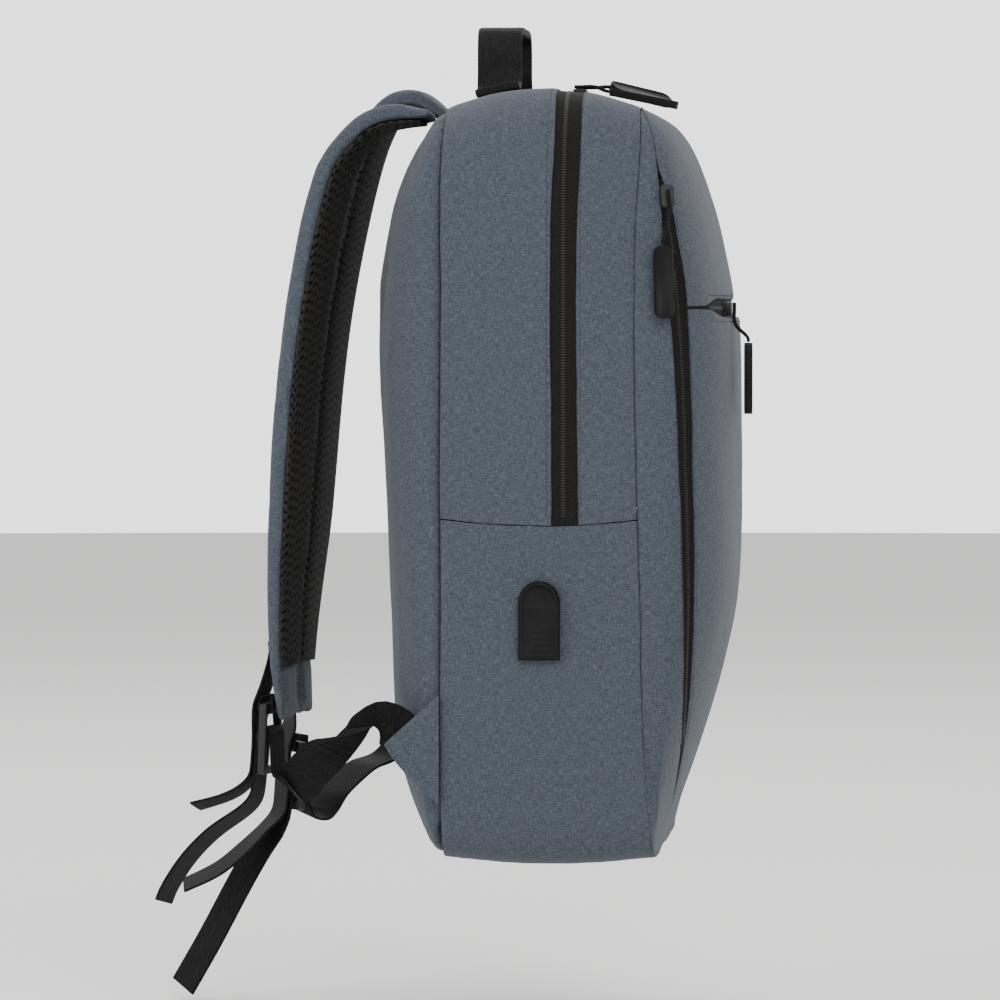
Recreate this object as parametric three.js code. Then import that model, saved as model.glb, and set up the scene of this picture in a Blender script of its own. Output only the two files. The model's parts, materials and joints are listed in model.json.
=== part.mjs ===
// Slim zipped backpack with two padded shoulder straps and a grab handle.
// Millimetres. +Z is up, +Y is the wearer's side (back panel and straps), -Y is the front,
// -X is the wearer's left. The origin lies under the middle of the grab handle, where a hook carries it.
import * as THREE from 'three';
import { mergeVertices } from 'three/addons/utils/BufferGeometryUtils.js';

// Driving sizes of the bag itself
const bodyHeight = 430; // base to the crown of the top
const bodyWidth = 290; // across the side seams
const gussetDepth = 107; // rear seam to front seam
const backDepth = 41.5; // how far the back panel stands out behind the rear seam
const frontDepth = 53; // how far the front stands out before the front seam
const topSwell = 11; // crown of the top above its seams
const baseSwell = 3.5; // base below its seams
const sideSwell = 3; // belly of the side panels
const topCorner = 62; // corner radii of the bag seen from the front
const baseCorner = 24;
const clothWall = 2.4; // cloth, thin foam and lining
const backPad = 9; // padded back panel
const seamGap = 0.3; // clearance between neighbouring pieces

// Zips
const zipFromSeam = 61; // main zip behind edge, measured forward from the rear seam
const zipWidth = 14;
const zipSink = 1.2; // tape lies this much below the cloth beside it
const zipWall = 1.6;
const mouthHeight = 191; // top seam of the lower side panels, over the base
const mouthSag = 3.5;
const pocketTop = 302; // upper edge of the front pocket, over the base
const pocketZipWidth = 10;
const pocketStandOff = 3; // front pocket stands proud of the panel above it
const frontZipReach = 0.72; // share of the half width that the front zip covers

// Carrying parts
const handleSpan = 92; // between the outer faces of the legs
const handleRise = 36; // top of the handle over the crown
const handleFoot = 24; // stitched foot on each side
const handleWidth = 25;
const handleThick = 4.5;
const handleFromSeam = 26; // middle of the handle before the rear seam
const strapWidth = 62;
const strapFromSide = 59; // middle of the strap in from the side seam, at its widest place
const strapThick = 9; // grey padded part
const meshThick = 4; // black net lining on the wearer's side
const webWidth = 25;
const webThick = 1.6;
const buckleWidth = 34;
const buckleHeight = 40;
const buckleThick = 4;
const buckleBar = 4;
const tabThick = 3;
const tabReach = 30.8; // how far the tab stands behind the rear seam
const tabBase = 33.8; // over the base
const tabTop = 94.8;

// Zip pulls and the charging port
const gripLength = 40;
const gripWidth = 11;
const gripThick = 4.5;
const pullCord = 2.2;
const sideCord = 26.5; // from the slider of the side front zip down to its grip
const frontCord = 14; // from the edge of the front pocket down to its grip
const topCord = 17; // from the main zip forward to its grips
const sliderLength = 13;
const sliderWidth = 7.5;
const sliderHeight = 3.2;
const portWidth = 23;
const portHeight = 43.5;
const portThick = 3.6;
const portBevel = 1.2;
const portBase = 114; // lower edge over the base of the bag
const portFromSeam = 55; // middle of the port before the rear seam

// Sizes that follow from the ones above
const halfWidth = bodyWidth / 2;
const strapOut = halfWidth - strapFromSide;
const seamLow = baseSwell;
const seamHigh = bodyHeight - topSwell;
const seamSpan = seamHigh - seamLow;
const rearSeam = handleFromSeam;
const frontSeam = rearSeam - gussetDepth;
const midY = (rearSeam + backDepth + frontSeam - frontDepth) / 2;
const halfDepth = (gussetDepth + backDepth + frontDepth) / 2;
const handleUnder = bodyHeight + handleRise - handleThick;

// Centre profile of the back panel: share of the seam height, share of backDepth
const backProfile = [
  { height: 0, depth: 0 },
  { height: 0.012, depth: 0.25 },
  { height: 0.04, depth: 0.41 },
  { height: 0.1, depth: 0.67 },
  { height: 0.18, depth: 0.76 },
  { height: 0.32, depth: 0.81 },
  { height: 0.46, depth: 0.89 },
  { height: 0.6, depth: 0.95 },
  { height: 0.72, depth: 1 },
  { height: 0.81, depth: 0.94 },
  { height: 0.88, depth: 0.81 },
  { height: 0.947, depth: 0.52 },
  { height: 0.982, depth: 0.25 },
  { height: 1, depth: 0 },
];

// Front: centre profile and front seam, both as shares of frontDepth before the seam plane
const frontProfile = [
  { height: 0, centre: 0.2, seam: 0.2 },
  { height: 0.04, centre: 0.29, seam: 0.165 },
  { height: 0.11, centre: 0.475, seam: 0.115 },
  { height: 0.18, centre: 0.665, seam: 0.08 },
  { height: 0.25, centre: 0.81, seam: 0.07 },
  { height: 0.32, centre: 0.915, seam: 0.07 },
  { height: 0.4, centre: 0.94, seam: 0.045 },
  { height: 0.53, centre: 0.945, seam: 0.01 },
  { height: 0.66, centre: 0.945, seam: -0.01 },
  { height: 0.742, centre: 0.925, seam: -0.005 },
  { height: 0.81, centre: 0.83, seam: 0 },
  { height: 0.877, centre: 0.69, seam: 0.025 },
  { height: 0.912, centre: 0.6, seam: 0.045 },
  { height: 0.947, centre: 0.49, seam: 0.055 },
  { height: 0.981, centre: 0.3, seam: 0.04 },
  { height: 1, centre: 0.03, seam: 0.03 },
];

// Side front zip: edges as shares of the local depth of the front, from the seam forward
const sideZip = [
  { height: 0, rear: 0.93, front: 0.93 },
  { height: 0.08, rear: 0.92, front: 0.92 },
  { height: 0.13, rear: 0.83, front: 0.86 },
  { height: 0.2, rear: 0.66, front: 0.75 },
  { height: 0.335, rear: 0.515, front: 0.65 },
  { height: 0.47, rear: 0.495, front: 0.64 },
  { height: 0.6, rear: 0.46, front: 0.625 },
  { height: 0.74, rear: 0.39, front: 0.585 },
  { height: 0.82, rear: 0.375, front: 0.57 },
  { height: 0.88, rear: 0.36, front: 0.5 },
  { height: 0.9, rear: 0.35, front: 0.41 },
  { height: 1, rear: 0.3, front: 0.3 },
];
const sideZipEnds = { low: 0.13, high: 0.9 };
const backRoundness = 2.6; // exponents of the plan sections: 2 is an ellipse, higher is boxier
const frontRoundness = 3;

// Shoulder strap seen from the side: shares of its reach behind the rear seam and of its drop,
// with the shares of its arch lift, of its full thickness, of its distance out and of its tuck towards the bag
const strapShape = [
  { reach: 0.085, drop: 0.002, lift: 0.1, bulk: 0.3, spread: 0.8, tuck: 0 },
  { reach: 0.163, drop: 0.006, lift: 0.45, bulk: 0.62, spread: 0.8, tuck: 0.1 },
  { reach: 0.293, drop: 0.004, lift: 0.85, bulk: 0.95, spread: 0.8, tuck: 0.25 },
  { reach: 0.435, drop: 0.012, lift: 1, bulk: 1, spread: 0.81, tuck: 0.5 },
  { reach: 0.56, drop: 0.034, lift: 1, bulk: 1, spread: 0.83, tuck: 0.75 },
  { reach: 0.668, drop: 0.072, lift: 0.9, bulk: 1, spread: 0.86, tuck: 1 },
  { reach: 0.739, drop: 0.111, lift: 0.7, bulk: 1, spread: 0.9, tuck: 1 },
  { reach: 0.812, drop: 0.2, lift: 0.4, bulk: 1, spread: 0.95, tuck: 0.69 },
  { reach: 0.883, drop: 0.32, lift: 0.15, bulk: 1, spread: 0.98, tuck: 0.39 },
  { reach: 0.93, drop: 0.43, lift: 0, bulk: 1, spread: 1, tuck: 0.26 },
  { reach: 0.965, drop: 0.55, lift: 0, bulk: 1, spread: 1, tuck: 0.21 },
  { reach: 0.985, drop: 0.67, lift: 0, bulk: 0.95, spread: 1, tuck: 0.05 },
  { reach: 1, drop: 0.8, lift: 0, bulk: 0.8, spread: 0.99, tuck: -0.35 },
  { reach: 0.99, drop: 0.91, lift: 0, bulk: 0.65, spread: 0.98, tuck: -0.75 },
  { reach: 0.95, drop: 1, lift: 0, bulk: 0.5, spread: 0.97, tuck: -0.9 },
];
const strapRings = 2; // rings for each row of the table
const strapTaper = { from: 0.6, share: 0.58 }; // where the strap starts to narrow, and its tip width
const strapRoot = 3.2; // root of the strap below the top seam

// The two straps differ a little, as they hang. drop is a share of the body's height, sewn the share of the
// strap's length where its webbing starts, and below the distance from the strap's end down to the buckle
const sides = [
  {
    name: 'left', sign: -1, reach: 92, drop: 0.788, archLift: 2, tuck: 2, twist: 8,
    sewn: 0.9, buckle: { out: 8, below: 13, turn: -10, lean: 2 },
  },
  {
    name: 'right', sign: 1, reach: 95, drop: 0.802, archLift: 17, tuck: 7, twist: 7,
    sewn: 0.92, buckle: { out: 9, below: 39, turn: 24, lean: 2 },
  },
];

// Outline of the tab that the webbing leaves: shares of its reach and of its height
const tabOutline = [
  { back: 0, up: 1 },
  { back: 1, up: 0.549 },
  { back: 0.69, up: 0.306 },
  { back: 0, up: 0 },
];

const cloth = { color: 0x58626e, roughness: 0.95, metalness: 0 };
const net = { color: 0x1c1b1a, roughness: 1, metalness: 0 };
const webbing = { color: 0x141414, roughness: 0.85, metalness: 0 };
const zipTape = { color: 0x242424, roughness: 0.9, metalness: 0 };
const plastic = { color: 0x26282a, roughness: 0.5, metalness: 0 };
const rubber = { color: 0x262626, roughness: 0.6, metalness: 0 };

const pack = new THREE.Group();

function addPiece(name, geometry, look) {
  const mesh = new THREE.Mesh(geometry, new THREE.MeshStandardMaterial(look));
  mesh.name = name;
  pack.add(mesh);
  return mesh;
}

// Smooth value of one column of a table at a share of the height
function valueAt(table, key, share, column) {
  let i = 0;
  while (i < table.length - 2 && share > table[i + 1][key]) i += 1;
  const slope = (j) => {
    const a = table[Math.max(j - 1, 0)];
    const b = table[Math.min(j + 1, table.length - 1)];
    return (b[column] - a[column]) / (b[key] - a[key]);
  };
  const span = table[i + 1][key] - table[i][key];
  const t = THREE.MathUtils.clamp((share - table[i][key]) / span, 0, 1);
  const t2 = t * t;
  const t3 = t2 * t;
  return (2 * t3 - 3 * t2 + 1) * table[i][column] + (t3 - 2 * t2 + t) * span * slope(i)
    + (3 * t2 - 2 * t3) * table[i + 1][column] + (t3 - t2) * span * slope(i + 1);
}

// Direction into the bag, the same for two panels that meet, so that their walls meet in a mitre
function inward(p) {
  return new THREE.Vector3(
    (p.x / halfWidth) ** 3 / halfWidth,
    ((p.y - midY) / halfDepth) ** 3 / halfDepth,
    ((p.z - bodyHeight / 2) / (bodyHeight / 2)) ** 3 / (bodyHeight / 2),
  ).normalize().negate();
}

// Closed solid from triangles given as corner points, turned to face outwards
function solid(points, faces) {
  const geometry = new THREE.BufferGeometry();
  geometry.setAttribute('position', new THREE.Float32BufferAttribute(points.flatMap((p) => [p.x, p.y, p.z]), 3));
  let volume = 0;
  for (const [a, b, c] of faces) volume += points[a].dot(new THREE.Vector3().crossVectors(points[b], points[c]));
  geometry.setIndex(faces.flatMap(([a, b, c]) => (volume < 0 ? [a, c, b] : [a, b, c])));
  const merged = mergeVertices(geometry, 1e-5);
  merged.computeVertexNormals();
  return merged;
}

// Wall of cloth: a grid of points on the outside, the same grid pushed in, and a rim round both
function clothPanel({ at, across, along, wall, sink = 0 }) {
  const outer = [];
  for (let j = 0; j <= along; j += 1) {
    outer.push(Array.from({ length: across + 1 }, (_, i) => at(i / across, j)));
  }
  const trim = (p, next) => p.add(next.clone().sub(p).setLength(seamGap / 2));
  outer.forEach((row) => {
    trim(row[0], row[1]);
    trim(row[across], row[across - 1]);
  });
  for (let i = 0; i <= across; i += 1) {
    trim(outer[0][i], outer[1][i]);
    trim(outer[along][i], outer[along - 1][i]);
  }
  const points = [];
  for (const depth of [sink, sink + wall]) {
    for (const row of outer) points.push(...row.map((p) => p.clone().addScaledVector(inward(p), depth)));
  }
  const width = across + 1;
  const layer = width * (along + 1);
  const faces = [];
  const quad = (a, b, c, d) => faces.push([a, b, c], [a, c, d]);
  for (let j = 0; j < along; j += 1) {
    for (let i = 0; i < across; i += 1) {
      const k = j * width + i;
      quad(k, k + 1, k + width + 1, k + width);
      quad(layer + k, layer + k + width, layer + k + width + 1, layer + k + 1);
    }
  }
  for (let i = 0; i < across; i += 1) {
    const k = along * width + i;
    quad(i, layer + i, layer + i + 1, i + 1);
    quad(k, k + 1, layer + k + 1, layer + k);
  }
  for (let j = 0; j < along; j += 1) {
    const k = j * width;
    const m = k + across;
    quad(k, k + width, layer + k + width, layer + k);
    quad(m, layer + m, layer + m + width, m + width);
  }
  return solid(points, faces);
}

// Solid through rings of points, closed at both ends by fans
function loft(rings) {
  const count = rings[0].length;
  const points = rings.flat();
  const faces = [];
  for (let j = 0; j < rings.length - 1; j += 1) {
    for (let i = 0; i < count; i += 1) {
      const a = j * count + i;
      const b = j * count + ((i + 1) % count);
      faces.push([a, b, b + count], [a, b + count, a + count]);
    }
  }
  const last = points.length - count;
  for (let i = 1; i < count - 1; i += 1) {
    faces.push([0, i + 1, i], [last, last + i, last + i + 1]);
  }
  return solid(points, faces);
}

// Geometry of a three.js class as one closed solid
function closed(geometry) {
  geometry.deleteAttribute('normal');
  geometry.deleteAttribute('uv');
  const merged = mergeVertices(geometry, 1e-4);
  merged.computeVertexNormals();
  return merged;
}

function roundedShape(width, height, radius) {
  const w = width / 2;
  const h = height / 2;
  const shape = new THREE.Shape();
  shape.moveTo(radius - w, -h);
  shape.lineTo(w - radius, -h);
  shape.quadraticCurveTo(w, -h, w, radius - h);
  shape.lineTo(w, h - radius);
  shape.quadraticCurveTo(w, h, w - radius, h);
  shape.lineTo(radius - w, h);
  shape.quadraticCurveTo(-w, h, -w, h - radius);
  shape.lineTo(-w, radius - h);
  shape.quadraticCurveTo(-w, -h, radius - w, -h);
  return shape;
}

// Rows up one side of the bag, seen from the front: half the base, its corner, the straight side,
// the top corner and half the top. Every panel shares them, so that seams meet point for point.
const rows = { base: 2, corner: 7, straight: 16, shoulder: 25, crown: 28 };

function outlineAt(row) {
  const quarter = Math.PI / 2;
  const low = seamLow + baseCorner;
  const high = seamHigh - topCorner;
  if (row <= rows.base) {
    return { x: ((halfWidth - baseCorner) * row) / rows.base, z: seamLow, angle: -quarter };
  }
  if (row <= rows.corner) {
    const angle = (quarter * (row - rows.corner)) / (rows.corner - rows.base);
    return {
      x: halfWidth - baseCorner + baseCorner * Math.cos(angle), z: low + baseCorner * Math.sin(angle), angle,
    };
  }
  if (row <= rows.straight) {
    const up = (row - rows.corner) / (rows.straight - rows.corner);
    return { x: halfWidth, z: THREE.MathUtils.lerp(low, high, up), angle: 0 };
  }
  if (row <= rows.shoulder) {
    const angle = (quarter * (row - rows.straight)) / (rows.shoulder - rows.straight);
    return { x: halfWidth - topCorner + topCorner * Math.cos(angle), z: high + topCorner * Math.sin(angle), angle };
  }
  const left = (rows.crown - row) / (rows.crown - rows.shoulder);
  return { x: (halfWidth - topCorner) * left, z: seamHigh, angle: quarter };
}

// Row that lies at a height between the base seam and the top seam
function rowAt(z) {
  let low = rows.base;
  let high = rows.shoulder;
  while (high - low > 1e-6) {
    const middle = (low + high) / 2;
    if (outlineAt(middle).z < z) low = middle;
    else high = middle;
  }
  return (low + high) / 2;
}

// Rows of a panel between two edges that may slant: the edges themselves and the whole rows between,
// which bend away from the edges in the middle of the panel and stay whole at its sides
function rowsBetween(low, high) {
  const least = 0.02;
  const bend = 0.25;
  const first = Math.ceil(Math.max(low(0), low(1)) + least);
  const last = Math.floor(Math.min(high(0), high(1)) - least);
  const count = last - first + 2;
  const row = (i, j) => {
    if (j === 0) return low(i);
    if (j === count) return high(i);
    const away = bend * (1 - (2 * i - 1) ** 2);
    return THREE.MathUtils.clamp(first + j - 1, low(i) + away, high(i) - away);
  };
  return { count, row };
}

// Point at a row that need not be whole, on the straight line between the whole rows that neighbours share
function onChord(row, at) {
  const low = Math.floor(row);
  return at(low).lerp(at(low + 1), row - low);
}

const heightShare = (z) => THREE.MathUtils.clamp((z - seamLow) / seamSpan, 0, 1);
const frontSeamAt = (z) => frontSeam - frontDepth * valueAt(frontProfile, 'height', heightShare(z), 'seam');

// Gusset: the band between the two seams, on one side of the bag, by row and share of the depth
function gusset(row, depth, sign) {
  const p = outlineAt(row);
  const up = Math.max(Math.sin(p.angle), 0) ** 2;
  const down = Math.max(-Math.sin(p.angle), 0) ** 2;
  const swell = sideSwell + (topSwell - sideSwell) * up + (baseSwell - sideSwell) * down;
  const hump = Math.min(1, 3 * (0.5 - Math.abs(depth - 0.5)));
  const belly = THREE.MathUtils.lerp(1 - (2 * depth - 1) ** 2, hump, down);
  return new THREE.Vector3(
    sign * (p.x + swell * belly * Math.cos(p.angle)),
    THREE.MathUtils.lerp(rearSeam, frontSeamAt(p.z), depth),
    p.z + swell * belly * Math.sin(p.angle),
  );
}

// Caps before and behind the gusset. turn runs from -90 to 90 degrees across the cap
function cap(row, turn, depth, roundness, seam, direction) {
  const s = Math.sin(turn);
  const p = outlineAt(row);
  const x = p.x * Math.sign(s) * Math.abs(s) ** (2 / roundness);
  const y = seam + direction * depth * Math.abs(Math.cos(turn)) ** (2 / roundness);
  return new THREE.Vector3(x, y, p.z);
}

function backAt(row, turn) {
  const depth = backDepth * valueAt(backProfile, 'height', heightShare(outlineAt(row).z), 'depth');
  return cap(row, turn, depth, backRoundness, rearSeam, 1);
}

function frontAt(row, turn, lift = 0) {
  const { z } = outlineAt(row);
  const seam = frontSeamAt(z);
  const centre = frontSeam - frontDepth * valueAt(frontProfile, 'height', heightShare(z), 'centre');
  return cap(row, turn, Math.max(seam - centre + lift, 0), frontRoundness, seam, -1);
}

// Turn of the section at which the front is a share of its depth before the seam
const turnAt = (share) => Math.acos(THREE.MathUtils.clamp(share, 0, 1) ** (frontRoundness / 2));
// The two edges of the side front zip run on as one seam above and below it
const zipEnd = (share) => Math.round(rowAt(seamLow + seamSpan * share));
function zipTurn(row, edge) {
  const open = row > zipEnd(sideZipEnds.low) - 0.01 && row < zipEnd(sideZipEnds.high) + 0.01;
  return turnAt(valueAt(sideZip, 'height', heightShare(outlineAt(row).z), open ? edge : 'rear'));
}

function addShell() {
  const zipRear = zipFromSeam / gussetDepth;
  const zipFront = (zipFromSeam + zipWidth) / gussetDepth;
  const mouth = (depth) => rowAt(mouthHeight - mouthSag * (1 - (2 * depth - 1) ** 2));
  // A strip runs up the right side, over the top and down the left side
  const strip = (from, to) => {
    const depthAt = (i) => THREE.MathUtils.lerp(from, to, i);
    const half = rowsBetween((i) => mouth(depthAt(i)), () => rows.crown);
    const at = (i, j) => {
      const down = j > half.count;
      return gusset(half.row(i, down ? 2 * half.count - j : j), depthAt(i), down ? -1 : 1);
    };
    return { at, along: 2 * half.count };
  };
  const backRows = rowsBetween(() => rows.base, () => rows.shoulder);
  addPiece('back_panel', clothPanel({
    at: (i, j) => backAt(backRows.row(i, j), Math.PI * (i - 0.5)), across: 18, along: backRows.count, wall: backPad,
  }), cloth);
  addPiece('rear_gusset', clothPanel({ ...strip(0, zipRear), across: 4, wall: clothWall }), cloth);
  addPiece('front_gusset', clothPanel({ ...strip(zipFront, 1), across: 2, wall: clothWall }), cloth);
  addPiece('main_zip', clothPanel({ ...strip(zipRear, zipFront), across: 1, wall: zipWall, sink: zipSink }), zipTape);
  const pocketRows = rowsBetween(() => rows.base, mouth);
  for (const { name, sign } of sides) {
    addPiece(`side_pocket_${name}`, clothPanel({
      at: (i, j) => gusset(pocketRows.row(i, j), i, sign), across: 6, along: pocketRows.count, wall: clothWall,
    }), cloth);
  }
  addPiece('base_panel', clothPanel({
    at: (i, j) => gusset(Math.abs(j - rows.base), i, Math.sign(j - rows.base)),
    across: 6, along: 2 * rows.base, wall: clothWall,
  }), cloth);
}

function addFront() {
  const zipTop = pocketTop + pocketZipWidth;
  // The front zip tapers into a plain seam towards both sides
  const taper = (i) => 1 - THREE.MathUtils.smoothstep(Math.abs(2 * i - 1), frontZipReach - 0.1, frontZipReach);
  const seamZ = (pocketTop + zipTop) / 2;
  const zipEdge = (z) => (i) => rowAt(THREE.MathUtils.lerp(seamZ, z, 0.12 + 0.88 * taper(i)));
  const front = (low, high, lift) => {
    const between = rowsBetween(low, high);
    const at = (i, j) => onChord(between.row(i, j), (row) => {
      const turn = THREE.MathUtils.lerp(-zipTurn(row, 'front'), zipTurn(row, 'rear'), i);
      return frontAt(row, turn, lift(row, i));
    });
    return { at, along: between.count };
  };
  const standOff = (row, i) => pocketStandOff * Math.min(1, 2 * Math.sin(Math.PI * i))
    * THREE.MathUtils.smoothstep(heightShare(outlineAt(row).z), 0.05, 0.4);
  const none = () => 0;
  addPiece('front_upper_panel', clothPanel({
    ...front(zipEdge(zipTop), () => rows.shoulder, none), across: 14, wall: clothWall,
  }), cloth);
  addPiece('front_pocket_panel', clothPanel({
    ...front(() => rows.base, zipEdge(pocketTop), standOff), across: 14, wall: clothWall,
  }), cloth);
  addPiece('front_zip', clothPanel({
    ...front(zipEdge(pocketTop), zipEdge(zipTop), none), across: 14, along: 1, wall: zipWall, sink: zipSink,
  }), zipTape);
  const zipRows = rowsBetween(() => zipEnd(sideZipEnds.low), () => zipEnd(sideZipEnds.high));
  addPiece('side_front_zip', clothPanel({
    at: (i, j) => {
      const row = zipRows.row(i, j);
      return frontAt(row, -THREE.MathUtils.lerp(zipTurn(row, 'front'), zipTurn(row, 'rear'), i));
    },
    across: 1, along: zipRows.count, wall: zipWall, sink: zipSink,
  }), zipTape);
  const sideRows = rowsBetween(() => rows.base, () => rows.shoulder);
  for (const { name, sign } of sides) {
    addPiece(`front_side_${name}`, clothPanel({
      at: (i, j) => {
        const row = sideRows.row(i, j);
        return frontAt(row, sign * THREE.MathUtils.lerp(zipTurn(row, 'rear'), Math.PI / 2, i));
      },
      across: 3, along: sideRows.count, wall: clothWall,
    }), cloth);
  }
}

// Flat or padded band along a curve. stops give places, the direction of the width before it is rolled
// about the curve, the roll in degrees, and width and thickness. section lists corners as shares of
// half sizes, and finer is the number of rings for each stop
function band({ stops, section, finer, from = 0, to = (stops.length - 1) * finer }) {
  const frameAt = bandFrame(stops);
  const rings = [];
  for (let k = from; k <= to; k += 1) {
    const { centre, wide, thick, width, depth } = frameAt(k / finer);
    rings.push(section.map(([a, b]) => centre.clone()
      .addScaledVector(wide, (a * width) / 2)
      .addScaledVector(thick, (b * depth) / 2)));
  }
  return loft(rings);
}

// Frame of a band at a place that counts its stops
function bandFrame(stops) {
  const curve = new THREE.CatmullRomCurve3(stops.map((s) => s.place), false, 'centripetal');
  const last = stops.length - 1;
  const square = (wide, tangent) => wide.addScaledVector(tangent, -wide.dot(tangent)).normalize();
  const wides = stops.map((s, i) => {
    const tangent = curve.getTangent(i / last);
    return square(s.wide.clone(), tangent).applyAxisAngle(tangent, THREE.MathUtils.degToRad(s.roll));
  });
  return (place) => {
    const i = Math.min(Math.floor(place), last - 1);
    const f = place - i;
    const blend = (key) => THREE.MathUtils.lerp(stops[i][key], stops[i + 1][key], f);
    const tangent = curve.getTangent(place / last);
    const wide = square(wides[i].clone().lerp(wides[i + 1], f), tangent);
    const thick = new THREE.Vector3().crossVectors(tangent, wide);
    return { centre: curve.getPoint(place / last), wide, thick, width: blend('width'), depth: blend('thick') };
  };
}

const flatSection = [[-1, -1], [1, -1], [1, 1], [-1, 1]];
const strapSection = [[-1, -1], [-1, 0.2], [-0.93, 0.8], [-0.72, 1], [0.72, 1], [0.93, 0.8], [1, 0.2], [1, -1]];
// The net lining lies under the strap, in shares of the strap's own thickness
const liningTop = -1 - (3 * seamGap) / strapThick;
const liningDeep = (2 * meshThick) / strapThick;
const meshSection = [
  [-0.93, liningTop], [-0.93, liningTop - liningDeep * 0.35], [-0.7, liningTop - liningDeep],
  [0.7, liningTop - liningDeep], [0.93, liningTop - liningDeep * 0.35], [0.93, liningTop],
];
const xAxis = new THREE.Vector3(1, 0, 0);
const yAxis = new THREE.Vector3(0, 1, 0);

function addHandle() {
  const legX = (handleSpan - handleThick) / 2;
  const topZ = bodyHeight + handleRise - handleThick / 2;
  const bend = 2 * handleThick;
  // The feet lie on the slope of the top
  const topAt = (y) => gusset(rows.crown, (rearSeam - y) / gussetDepth, 1).z;
  const rise = topAt(-handleWidth / 2) - topAt(handleWidth / 2);
  const slope = -THREE.MathUtils.radToDeg(Math.atan2(rise, handleWidth));
  const crown = topAt(0) - (topAt(handleWidth / 2) + topAt(-handleWidth / 2)) / 2;
  const footZ = topAt(0) + Math.max(crown, 0) + handleThick / 2;
  const half = [
    { x: 0, z: topZ, roll: 0 },
    { x: legX - 2 * bend, z: topZ, roll: 0 },
    { x: legX - bend * 0.3, z: topZ - bend * 0.3, roll: 0 },
    { x: legX, z: topZ - bend * 1.4, roll: 0 },
    { x: legX, z: footZ + bend * 1.2, roll: 0 },
    { x: legX + bend * 0.3, z: footZ + bend * 0.25, roll: slope / 2 },
    { x: legX + bend * 1.1, z: footZ, roll: slope },
    { x: legX + handleFoot, z: footZ, roll: slope },
  ];
  const stop = ({ x, z, roll }, sign) => ({
    place: new THREE.Vector3(sign * x, 0, z), wide: yAxis, roll, width: handleWidth, thick: handleThick,
  });
  const stops = [...half.slice(1).reverse().map((s) => stop(s, -1)), ...half.map((s) => stop(s, 1))];
  addPiece('grab_handle', band({ stops, section: flatSection, finer: 3 }), webbing);
}

// Height at which the back panel stands a distance behind the rear seam, near its top
function backHeight(x, y) {
  let low = rows.straight;
  let high = rows.shoulder;
  while (high - low > 1e-6) {
    const row = (low + high) / 2;
    const turn = Math.asin(Math.min(1, Math.abs(x) / outlineAt(row).x) ** (backRoundness / 2));
    if (backAt(row, turn).y > y) low = row;
    else high = row;
  }
  return outlineAt(low).z;
}

// Middle line of a strap, with its frame, from the table of its shape. Its root rests on the back panel
function strapStops(side) {
  return strapShape.map((row, i) => {
    const narrow = THREE.MathUtils.smoothstep(row.drop, strapTaper.from, 1);
    const x = strapOut * row.spread;
    const y = rearSeam + side.reach * row.reach - side.tuck * row.tuck;
    const z = seamHigh - strapRoot - bodyHeight * side.drop * row.drop + side.archLift * row.lift;
    const under = i > 0 ? strapThick + 2 * meshThick : strapThick;
    const seat = y < rearSeam + backDepth / 3
      ? backHeight(x - strapWidth / 2, y) + (under / 2) * row.bulk + 2 * seamGap : z;
    return {
      place: new THREE.Vector3(side.sign * x, y, Math.max(z, seat)), wide: xAxis.clone().negate(),
      roll: side.twist * Math.min(1, row.drop * 8),
      width: strapWidth * THREE.MathUtils.lerp(1, strapTaper.share, narrow), thick: strapThick * row.bulk,
    };
  });
}

function addStraps() {
  for (const side of sides) {
    const shape = { stops: strapStops(side), finer: strapRings };
    addPiece(`shoulder_strap_${side.name}`, band({ ...shape, section: strapSection }), cloth);
    addPiece(`strap_mesh_${side.name}`, band({
      ...shape, section: meshSection, from: strapRings, to: (strapShape.length - 2) * strapRings,
    }), net);
  }
}

function buckleMiddle({ reach, drop, buckle }) {
  return { back: rearSeam + reach + buckle.out, up: seamHigh - bodyHeight * drop - buckle.below };
}

// Ladder-lock buckle, with its own frame: up along the strap, out away from the wearer
function buckleFrame(side) {
  const { buckle } = side;
  const frame = new THREE.Matrix4().makeRotationFromEuler(new THREE.Euler(
    THREE.MathUtils.degToRad(buckle.lean), 0, THREE.MathUtils.degToRad(buckle.turn), 'ZXY',
  ));
  const { back, up } = buckleMiddle(side);
  frame.setPosition(side.sign * strapOut, back, up);
  return frame;
}

const middleBar = buckleBar / 2;
const topBar = (buckleHeight - buckleBar) / 2;
const turnRadius = Math.hypot(buckleBar, buckleThick) / 2 + webThick / 2 + seamGap * 1.5;
const layer = webThick + 2 * seamGap;

function addBuckles() {
  for (const side of sides) {
    const plate = roundedShape(buckleWidth, buckleHeight, buckleBar * 0.7);
    const slotWidth = buckleWidth - 2 * buckleBar;
    const edges = [
      [-topBar + buckleBar / 2, middleBar - buckleBar / 2],
      [middleBar + buckleBar / 2, topBar - buckleBar / 2],
    ];
    for (const [low, high] of edges) {
      const hole = new THREE.Path();
      hole.moveTo(-slotWidth / 2, low);
      hole.lineTo(-slotWidth / 2, high);
      hole.lineTo(slotWidth / 2, high);
      hole.lineTo(slotWidth / 2, low);
      plate.holes.push(hole);
    }
    const geometry = new THREE.ExtrudeGeometry(plate, {
      depth: buckleThick, bevelEnabled: false, curveSegments: 4,
    });
    geometry.translate(0, 0, -buckleThick / 2);
    geometry.rotateX(Math.PI / 2);
    geometry.applyMatrix4(buckleFrame(side));
    addPiece(`ladder_lock_${side.name}`, closed(geometry), plastic);
  }
}

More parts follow.
